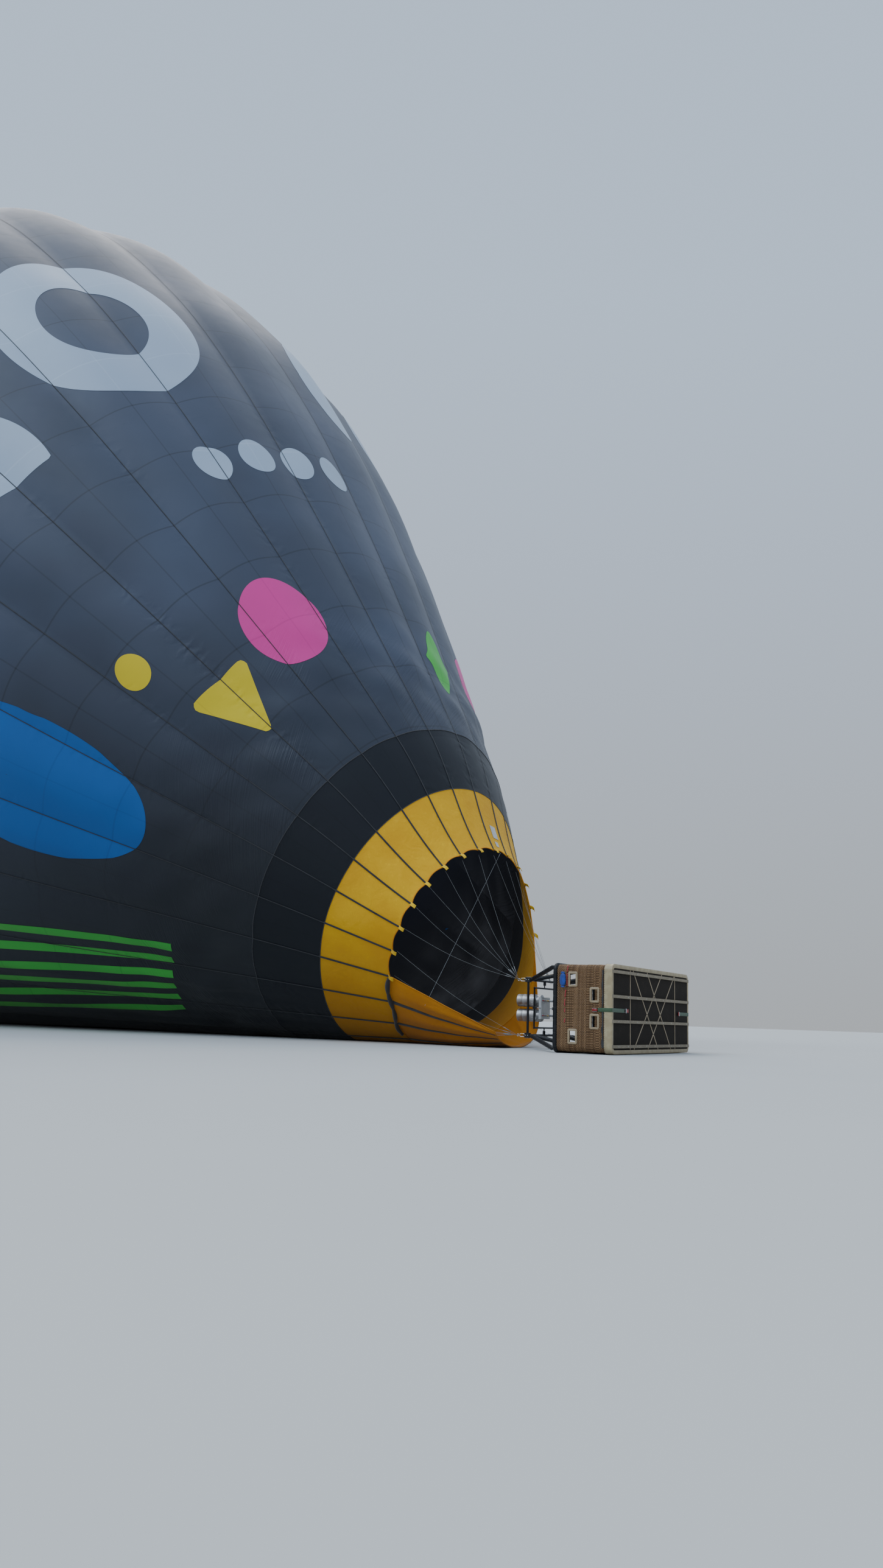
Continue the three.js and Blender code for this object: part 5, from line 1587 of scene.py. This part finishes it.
def weave(name, path, holes, node, seed):
    at, length = path
    chance = np.random.default_rng(seed)
    parts = []
    tones = []
    flip = 0
    rows = np.arange(0.075, 1.128, ROW_STEP)
    for number, height in enumerate(rows):
        blocked = in_block(height)
        flip = flip if blocked and in_block(height - ROW_STEP) else flip + 1
        for start, end in cut_rows(height, length, holes, 0.004):
            u = np.linspace(start, end, max(3, int((end - start) / (STAKE_STEP / 2)) + 1))
            place, normal = at(u)
            depth = BLOCK_SWING if blocked else PLAIN_SWING
            wave = depth * np.sin(math.pi * (u / STAKE_STEP + flip)) + chance.normal(0, 0.0006, len(u))
            ground = place + normal * (wave - WEAVE_DEPTH)[:, None]
            lift = chance.normal(0, 0.0007, len(u)) - height
            middle = np.concatenate([lift[:, None], ground], axis=1)
            points = placed(rod_rings(middle, normal, 0.0104, 0.0066))
            parts.append(facing_out(points, grid_faces(len(u), 4, closed=True)))
            # Rods in the block bands get a darker tone. Each point is then painted paler where it swings out
            # and darker where it swings in, as painted shade, most in the deeper block bands.
            tone = chance.normal(0.46 if blocked else 0.66, 0.16) + 0.1 * np.sin(u * 2.1 + number)
            tone = np.clip(tone + wave * (38.0 if blocked else 22.0), 0, 1)
            tones.append(np.repeat(tone, 4))
    for u_stake in np.arange(STAKE_STEP / 2, length, STAKE_STEP):
        blocked_by = [h for h, at_u in holes if abs(u_stake - at_u) < HOLE_HALF_WIDE]
        edges = [0.07]
        for h in sorted(blocked_by):
            edges += [h - HOLE_HALF_HIGH, h + HOLE_HALF_HIGH]
        edges.append(1.13)
        for low, high in zip(edges[::2], edges[1::2]):
            place, normal = at(np.array([u_stake, u_stake]))
            side = np.stack([-normal[:, 1], normal[:, 0]], axis=-1) * 0.006
            inner = place - normal * 0.0225
            outer = place - normal * 0.0105
            heart = place - normal * WEAVE_DEPTH
            corners = [inner - side * 0.2, heart + side, outer + side * 0.2, heart - side]
            x = -np.array((low, high))[:, None]
            ring = np.stack([np.concatenate([x, c], axis=1) for c in corners], axis=1)
            parts.append(facing_out(placed(ring), grid_faces(2, 4, closed=True)))
            tones.append(np.full(8, np.clip(chance.normal(0.4, 0.15), 0, 1)))
    points, faces = joined(parts)
    wall = piece(name, points, faces, willow_rods, stored={"tone": np.concatenate(tones)})
    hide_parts(node)
    print(name, "rods", len(parts), "faces", len(faces))


def end_hole(height, offset):
    return (height, CORNER * math.pi / 2 + offset + HALF_WIDTH - CORNER)


END_HOLES = [end_hole(0.815, 0.52), end_hole(0.385, 0.24), end_hole(0.385, -0.24), end_hole(0.815, -0.52)]
side_hole_places = ((0.385, 0.9), (0.815, 1.75), (0.385, -0.9), (0.815, -1.75))
SIDE_HOLES = [(h, y + HALF_LENGTH - CORNER) for h, y in side_hole_places]
weave("near_end_wicker", end_path(-1), END_HOLES, "basket_near_end_wall", 11)
weave("far_end_wicker", end_path(1), END_HOLES, "basket_far_end_wall", 12)
weave("lower_side_wicker", side_path(-1), SIDE_HOLES, "basket_lower_side_wall", 13)
weave("upper_side_wicker", side_path(1), SIDE_HOLES, "basket_upper_side_wall", 14)

# %% [markdown]
# The partitions inside are woven too, but they are seen only over the rim. There
# the solid boards stay, with the same weave made by the finish: two sines give the
# rods, and the sign of one shifts the other, as weavers do from row to row.

# %% Woven partitions
def woven_board():
    board = Finish("woven_board", (0.36, 0.20, 0.085), 0.6)
    rows = (board.axis_value("X") * (2 * math.pi / 0.034)).sine()
    per_metre = math.pi / STAKE_STEP
    bars = (board.axis_value("Y") * per_metre).sine() * (board.axis_value("Z") * per_metre).sine()
    board.bump(rows * 0.6 + rows * bars, 0.008, 0.8)
    # Painted shade: the weave's checker, made by the same sines as its bump, is darkened to stand in for the
    # shade between the rods.
    board.paint((rows * bars).fade(0.2, -0.8) * 0.7, (0.15, 0.075, 0.03))
    board.paint(board.noise(30.0, 3.0).fade(0.55, 0.4) * 0.4, (0.5, 0.32, 0.15))
    return board.material


refinish(["cross_partition_1", "cross_partition_2", "long_partition_1", "long_partition_2"], woven_board())
PARTITION_TOP = -1.068
partition_tops = (
    ((-0.575, 0.045), (-0.575, 1.607)),
    ((0.575, 0.045), (0.575, 1.607)),
    ((-2.19, BASKET_MIDDLE), (-0.61, BASKET_MIDDLE)),
    ((0.61, BASKET_MIDDLE), (2.19, BASKET_MIDDLE)),
)
for number, (start, end) in enumerate(partition_tops):
    share = np.linspace(0, 1, 80)[:, None]
    start, end = np.array((PARTITION_TOP, *start)), np.array((PARTITION_TOP, *end))
    path = start + share * (end - start)
    swell = 0.0265 + 0.0014 * np.cos(share[:, 0] * 15 * 2 * math.pi)
    roll = piece(f"partition_roll_{number + 1}", *tube(placed(path), swell, 16), black_leather)
print("partitions refinished, padded rolls on their tops", len(partition_tops))

# %% [markdown]
# Each step hole is bound with a flat rawhide frame, nailed through the weave. A
# frame is a tube on a rounded rectangle that is pressed flat towards the wall.

# %% Step-hole frames
def rounded_loop(half_a, half_b, radius, steps=5):
    points = []
    for sign_a, sign_b, start in ((1, 1, 0), (-1, 1, 1), (-1, -1, 2), (1, -1, 3)):
        for i in range(steps + 1):
            turn = (start + i / steps) * math.pi / 2
            centre = (sign_a * (half_a - radius), sign_b * (half_b - radius))
            points.append((centre[0] + radius * math.cos(turn), centre[1] + radius * math.sin(turn)))
    return np.array(points)


def hole_frame(height, u, path, out):
    loop = rounded_loop(HOLE_HALF_HIGH + 0.015, HOLE_HALF_WIDE + 0.015, 0.012)
    place, normal = path[0](u + loop[:, 1])
    ground = np.concatenate([(-height - loop[:, 0])[:, None], place + normal * out], axis=1)
    points, faces = tube(ground, 0.021, 10, closed=True)
    normal_3d = np.concatenate([[0.0], normal.mean(axis=0)])
    level_of_wall = float(np.dot(ground.mean(axis=0), normal_3d))
    depth = points @ normal_3d - level_of_wall
    points = points - normal_3d * (depth * FLATTENING)[:, None]
    return placed(points), faces


FLATTENING = 0.62
NAIL_PLACES = ((-0.12, -0.075), (-0.12, 0.075), (0.12, -0.075), (0.12, 0.075), (0.0, 0.075), (0.0, -0.075))
walls = [(end_path(-1), END_HOLES), (end_path(1), END_HOLES)]
walls += [(side_path(-1), SIDE_HOLES), (side_path(1), SIDE_HOLES)]
frame_parts = []
nail_parts = []
for path, holes in walls:
    for height, u in holes:
        frame_parts.append(hole_frame(height, u, path, -0.002))
        frame_parts.append(hole_frame(height, u, path, -0.030))
        for du, dh in NAIL_PLACES:
            place, normal = path[0](np.array([u + du]))
            start = np.concatenate([[-height - dh], place[0] + normal[0] * 0.004])
            end = start + np.concatenate([[0.0], normal[0]]) * 0.004
            nail_parts.append(ground_rod(start, end, 0.004, 6))
piece("step_frames", *joined(frame_parts), frame_hide)
piece("step_frame_nails", *joined(nail_parts), brass)
print("step frames", len(frame_parts), "nails", len(nail_parts))

# %% [markdown]
# ## Rim, base and floor
# The rim is a foam roll in black leather, laced on at every hand's breadth. The
# base is bound with a broad rawhide band, which turns under the floor's edge.

# %% Padded rim
def round_basket(inset, corner, count):
    """Points round the basket in plan, how far round each is, and the whole way round."""
    mid_a = HALF_LENGTH - inset - corner
    mid_b = HALF_WIDTH - inset - corner
    flat_a = 2 * mid_a
    flat_b = 2 * mid_b
    corner_middles = ((mid_a, -mid_b), (mid_a, mid_b), (-mid_a, mid_b), (-mid_a, -mid_b))
    arc = corner * math.pi / 2
    total = 2 * (flat_a + flat_b) + 4 * arc
    us = np.arange(count) * total / count
    points = []
    for u in us:
        for direction, flat in enumerate((flat_b, flat_a, flat_b, flat_a)):
            if u <= flat + arc or direction == 3:
                break
            u -= flat + arc
        turn = direction * math.pi / 2 + max(0.0, (u - flat) / corner)
        out = np.array((math.cos(turn), math.sin(turn)))
        start = np.array(corner_middles[direction])
        step = np.array((-math.sin(direction * math.pi / 2), math.cos(direction * math.pi / 2)))
        points.append(start + step * min(u, flat) + out * corner)
    return np.array(points) + np.array((0.0, BASKET_MIDDLE)), us, total


RIM_X = -1.1702
RIM_POINTS = 560
LACES = 52
rim_path, rim_u, rim_total = round_basket(0.017, 0.108, RIM_POINTS)
lace_step = rim_total / LACES
to_lace = np.abs((rim_u / lace_step + 0.5) % 1 - 0.5) * lace_step
rim_radius = 0.0428 - 0.0042 * np.exp(-((to_lace / 0.010) ** 2)) + 0.0006 * np.sin(rim_u * 41)
rim_line = np.concatenate([np.full((RIM_POINTS, 1), RIM_X), rim_path], axis=1)
rim_points, rim_faces = tube(placed(rim_line), rim_radius, 20, closed=True)
rim_roll = piece("rim_roll", rim_points, rim_faces, black_leather)
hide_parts("rim_pad")
lace_parts = []
for k in range(LACES):
    index = int(round(k * RIM_POINTS / LACES)) % RIM_POINTS
    centre = placed(rim_line[index])
    ahead = unit(rim_line[(index + 1) % RIM_POINTS] - rim_line[index - 1])
    side = unit(np.cross(ahead, (1.0, 0.0, 0.0)))
    lace = ring_points(centre, X_AXIS, side, 0.0405, count=16)
    lace_parts.append(tube(lace, 0.003, 5, closed=True))
piece("rim_laces", *joined(lace_parts), black_webbing)
print("rim", round(rim_total, 2), "m round")

# %% [markdown]
# The band's lower edge is a lip that turns in under the floor, swept round the same
# plan. Short dark stitches run round the band, rawhide strips cross the floor's
# underside, and bolt heads hold the four runners.

# %% Rawhide lip, stitches and floor strips
BAND_CORNER = 0.137
LIP_POINTS = 320
STITCHES = 300


def lip():
    profile = ((-0.0125, -0.052), (-0.0125, -0.040), (-0.009, -0.0365), (0.058, -0.0365), (0.062, -0.0405))
    rows = []
    for inset, x in profile:
        corner = max(BAND_CORNER - (inset + 0.012), 0.03)
        plan = round_basket(inset, corner, LIP_POINTS)[0]
        rows.append(np.concatenate([np.full((LIP_POINTS, 1), x), plan], axis=1))
    return placed(np.stack(rows)), grid_faces(len(profile), LIP_POINTS, closed=True)


piece("rawhide_lip", *lip(), rawhide)
stitch_parts = []
edge_line = round_basket(-0.0126, BAND_CORNER, STITCHES)[0]
for k in range(STITCHES):
    here, ahead = edge_line[k], edge_line[(k + 1) % STITCHES]
    start = np.array((-0.176, here[0], here[1]))
    middle = here + (ahead - here) * 0.35
    end = np.array((-0.194, middle[0], middle[1]))
    stitch_parts.append(tube(placed(np.array((start, (start + end) / 2, end))), 0.0022, 4))
piece("band_stitches", *joined(stitch_parts), black_webbing)
strip_ends = ((-1.3, -1.3), (1.33, 1.33), (-1.15, 0.28), (1.30, -0.32), (-0.36, 1.06), (0.52, -1.10))
raised = np.array((0.003, 0, 0))
strip_parts = []
for y_top, y_bottom in strip_ends:
    top = np.array((-0.0385, y_top, 1.560))
    bottom = np.array((-0.0385, y_bottom, 0.092))
    forward = unit(bottom - top)
    side = np.cross(forward, (1.0, 0.0, 0.0)) * 0.015
    rows = []
    for along in np.linspace(0, 1, 12):
        point = top + along * (bottom - top)
        rows.append([point - side, point - side * 0.8 + raised, point + side * 0.8 + raised, point + side])
    strip_parts.append((placed(rows), grid_faces(12, 4)))
piece("floor_strips", *joined(strip_parts), frame_hide)
bolt_heads = []
for k in range(4):
    z = BASKET_MIDDLE + (k - 1.5) * 0.45
    for y in np.linspace(-2.0, 2.0, 9):
        bolt_heads.append(ground_rod((-0.004, y, z), (0.0005, y, z), 0.009, 8))
piece("runner_bolts", *joined(bolt_heads), steel)
print("lip, stitches, strips and bolts made")

# %% [markdown]
# A small nylon pouch hangs under the rim. It is slack, so both its ends are drawn
# in by their cords, and its middle bulges. A red lacing comes out of the weave and
# goes back in, and a worn black strap runs round over the band.

# %% Pouch, red lacing and black strap
def drawn_by_cord(share, at):
    return 0.42 * np.exp(-(((share - at) / 0.035) ** 2))


def pouch():
    low, high = (np.array(corner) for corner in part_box("rim_pouch"))
    middle = (low + high) / 2
    half = (high - low) / 2
    share, turn = np.meshgrid(np.linspace(0, 1, 34), np.arange(36) * 2 * math.pi / 36, indexing="ij")
    ends = 0.42 + 0.58 * np.sin(math.pi * (0.06 + 0.88 * share)) ** 0.55
    necks = 1 - drawn_by_cord(share, 0.10) - drawn_by_cord(share, 0.90)
    crease = 1 + 0.045 * np.sin(turn * 5 + share * 7) * np.sin(math.pi * share)
    wide = half[0] * 0.97 * ends * necks * crease
    deep = half[1] * 0.97 * ends * necks * crease
    x = middle[0] + wide * np.cos(turn)
    y = high[1] - half[1] * 0.98 + deep * np.sin(turn)
    z = low[2] + share * (high[2] - low[2]) + 0.006 * np.sin(turn * 2 + share * 5)
    rings = np.stack([x, y, z], axis=-1)
    tips = rings[[0, -1]].mean(axis=1, keepdims=True)
    first = tips[0] + (rings[0] - tips[0]) * 0.03
    last = tips[1] + (rings[-1] - tips[1]) * 0.03
    rings = np.concatenate([first[None], rings, last[None]])
    return rings, grid_faces(36, 36, closed=True)


soft_pouch = piece("soft_pouch", *pouch(), blue_nylon)
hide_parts("rim_pouch")
pouch_low, pouch_high = (np.array(corner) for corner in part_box("rim_pouch"))
neck_parts = []
for share in (0.10, 0.90):
    centre = (pouch_low + pouch_high) / 2
    centre[2] = pouch_low[2] + share * (pouch_high[2] - pouch_low[2])
    cord = ring_points(centre, X_AXIS, Y_AXIS, 0.027, 0.017)
    neck_parts.append(tube(cord, 0.004, 6, closed=True))
piece("pouch_cords", *joined(neck_parts), black_webbing)
lacing = (
    ((-0.905, 1.59), (-0.930, 1.47)),
    ((-0.930, 1.45), (-0.925, 1.21)),
    ((-0.950, 1.15), (-0.965, 1.01)),
    ((-0.965, 0.98), (-0.970, 0.85)),
    ((-0.970, 0.80), (-0.965, 0.74)),
    ((-0.965, 0.62), (-0.970, 0.55)),
)
lacing_parts = []
for (x0, z0), (x1, z1) in lacing:
    share = np.linspace(0, 1, 14)
    out = 0.012 * np.sin(math.pi * share) ** 0.4
    path = np.stack([x0 + share * (x1 - x0), -2.2365 - out, z0 + share * (z1 - z0)], axis=1)
    lacing_parts.append(tube(placed(path), 0.0095 + 0.002 * np.sin(share * 11), 8))
piece("red_lacing", *joined(lacing_parts), red_webbing)
share = np.linspace(0, 1, 60)
strap_x = -0.223 + 0.004 * np.sin(share * 21) + 0.003 * np.sin(share * 47)
strap_half = 0.0135 + 0.004 * np.sin(share * 33) + 0.010 * np.exp(-(((share - 0.06) / 0.05) ** 2))
strap_z = 0.12 + share * 1.40
strap_rows = []
for side, up in ((-1, 0.0), (-0.8, 0.004), (0.8, 0.004), (1, 0.0)):
    strap_y = np.full(60, -2.2425 - up)
    strap_rows.append(np.stack([strap_x + side * strap_half, strap_y, strap_z], axis=1))
piece("worn_strap", placed(np.stack(strap_rows, axis=1)), grid_faces(60, 4), black_webbing)
print("pouch, lacing", len(lacing_parts), "and strap made")

# %% [markdown]
# Two broad green straps with red ratchets hold the floor: each comes out of the
# wicker, goes over the rawhide band and is drawn tight under the floor. Webbing is
# modelled directly, as a thin strip bent over the edge.

# %% Tie straps and ratchets
def flat_strap(path, half_width, thick, z):
    path = np.asarray(path, dtype=float)
    forward = unit(np.gradient(path, axis=0))
    out = np.stack([forward[:, 1], -forward[:, 0]], axis=1)
    rows = []
    for point, normal in zip(path, out):
        for share, lift in ((-1, 0), (-0.92, 1), (0.92, 1), (1, 0)):
            place = point + normal * thick * lift
            rows.append((place[0], place[1], z + share * half_width))
    return placed(rows), grid_faces(len(path), 4, flip=True)


strap_parts = []
strap_values = []
metal_parts = []
red_parts = []
for side in (-1, 1):
    wall_y = side * 2.2545
    turn = np.linspace(0, math.pi / 2, 6)
    corner_x = -0.048 + 0.013 * np.sin(turn)
    corner_y = side * (2.2405 + 0.015 * np.cos(turn))
    path = [(-0.315, side * 2.236), (-0.285, side * 2.2425), (-0.2, wall_y), (-0.12, wall_y)]
    path += list(zip(corner_x, corner_y))
    path += [(-0.034, side * y) for y in np.linspace(2.15, 1.62, 8)]
    points, faces = flat_strap(path, half_width=0.036, thick=0.0025 * -side, z=0.80)
    strap_parts.append((points, faces if side < 0 else faces[:, ::-1]))
    strap_values.append(np.repeat(np.linspace(0, 1.2, len(path)), 4))
    wall = side * 2.2445
    pivot = wall + side * 0.012
    red_parts.append(block((-0.40, wall, 0.775), (-0.32, wall + side * 0.022, 0.815), 0.006))
    red_parts.append(ground_rod((-0.41, pivot, 0.770), (-0.41, pivot, 0.822), 0.010, 10))
    metal_parts.append(block((-0.42, wall, 0.763), (-0.33, wall + side * 0.016, 0.769)))
    metal_parts.append(block((-0.42, wall, 0.823), (-0.33, wall + side * 0.016, 0.829)))
    y = side * 1.57
    metal_parts.append(block((-0.036, y - 0.045, 0.765), (-0.022, y + 0.045, 0.773)))
    metal_parts.append(block((-0.036, y - 0.045, 0.827), (-0.022, y + 0.045, 0.835)))
    metal_parts.append(ground_rod((-0.022, y, 0.758), (-0.022, y, 0.842), 0.013))
    grip_near = y - 0.02 * side
    grip_far = y - 0.085 * side
    grip_bar = y - 0.08 * side
    red_parts.append(block((-0.020, grip_near, 0.770), (-0.006, grip_far, 0.830), 0.005))
    red_parts.append(ground_rod((-0.012, grip_bar, 0.764), (-0.012, grip_bar, 0.836), 0.009, 10))
piece("tie_straps", *joined(strap_parts), green_webbing, stored={"along": np.concatenate(strap_values)})
piece("ratchet_frames", *joined(metal_parts), steel, smooth=False)
piece("ratchet_handles", *joined(red_parts), red_paint.material)
print("straps", len(strap_parts))

# %% [markdown]
# ## Floor and light
# The studio is plain: one pale floor that runs out of sight, and a pale world that
# is a little bluer overhead. One big soft light comes from above and behind the
# crown, as from a hazy sky, and a wide blue one from above on the camera's left.
# A weak lamp inside the envelope stands for the light that comes through its cloth.

# %% Studio
def plain_floor():
    floor_finish = Finish("studio_floor", (0.46, 0.46, 0.45), 0.9)
    floor_finish.paint(floor_finish.noise(0.25, 3.0).fade(0.6, 0.4) * 0.12, (0.42, 0.42, 0.41))
    reach = 900.0
    z = TO_MODEL[2]
    corners = [(-reach, -reach, z), (reach, -reach, z), (reach, reach, z), (-reach, reach, z)]
    floor = piece("studio_floor", corners, [[0, 1, 2, 3]], floor_finish.material, smooth=False)


def soft_sun(name, strength, color, direction, spread):
    light = bpy.data.lights.new(name, "SUN")
    light.energy = strength
    light.color = color
    light.angle = math.radians(spread)
    lamp = bpy.data.objects.new(name, light)
    bpy.context.scene.collection.objects.link(lamp)
    back = -unit(np.array(direction, dtype=float))
    right = unit(np.cross((0.0, 0.0, 1.0), back))
    turn = np.eye(4)
    turn[:3, 0] = right
    turn[:3, 1] = np.cross(back, right)
    turn[:3, 2] = back
    lamp.matrix_world = Matrix(turn.tolist())


plain_floor()
world = bpy.data.worlds.new("studio_world")
world.use_nodes = True
tree = world.node_tree
sky_place = tree.nodes.new("ShaderNodeTexCoord")
sky_height = tree.nodes.new("ShaderNodeSeparateXYZ")
sky_fade = tree.nodes.new("ShaderNodeMapRange")
sky_mix = tree.nodes.new("ShaderNodeMix")
sky_mix.data_type = "RGBA"
sky_mix.inputs[6].default_value = (0.50, 0.53, 0.56, 1.0)
sky_mix.inputs[7].default_value = (0.62, 0.76, 0.96, 1.0)
sky_fade.inputs["From Max"].default_value = 0.55
tree.links.new(sky_place.outputs["Generated"], sky_height.inputs[0])
tree.links.new(sky_height.outputs["Z"], sky_fade.inputs["Value"])
tree.links.new(sky_fade.outputs["Result"], sky_mix.inputs[0])
tree.links.new(sky_mix.outputs[2], tree.nodes["Background"].inputs["Color"])
tree.nodes["Background"].inputs["Strength"].default_value = 0.95
bpy.context.scene.world = world
behind = seen_to_ground(0.25, -0.55, -0.9)
upper_left = seen_to_ground(0.5, 0.45, -0.9)
soft_sun("key", 1.5, (1.0, 0.97, 0.92), behind, 40.0)
soft_sun("fill", 2.1, (0.74, 0.87, 1.0), upper_left, 45.0)
inside = bpy.data.lights.new("inside", "POINT")
inside.energy = 500.0
inside.color = (0.80, 0.86, 1.0)
inside.shadow_soft_size = 1.5
inside_lamp = bpy.data.objects.new("inside", inside)
bpy.context.scene.collection.objects.link(inside_lamp)
inside_lamp.location = placed(MOUTH + AXIS * 10.0)
print("studio ready")
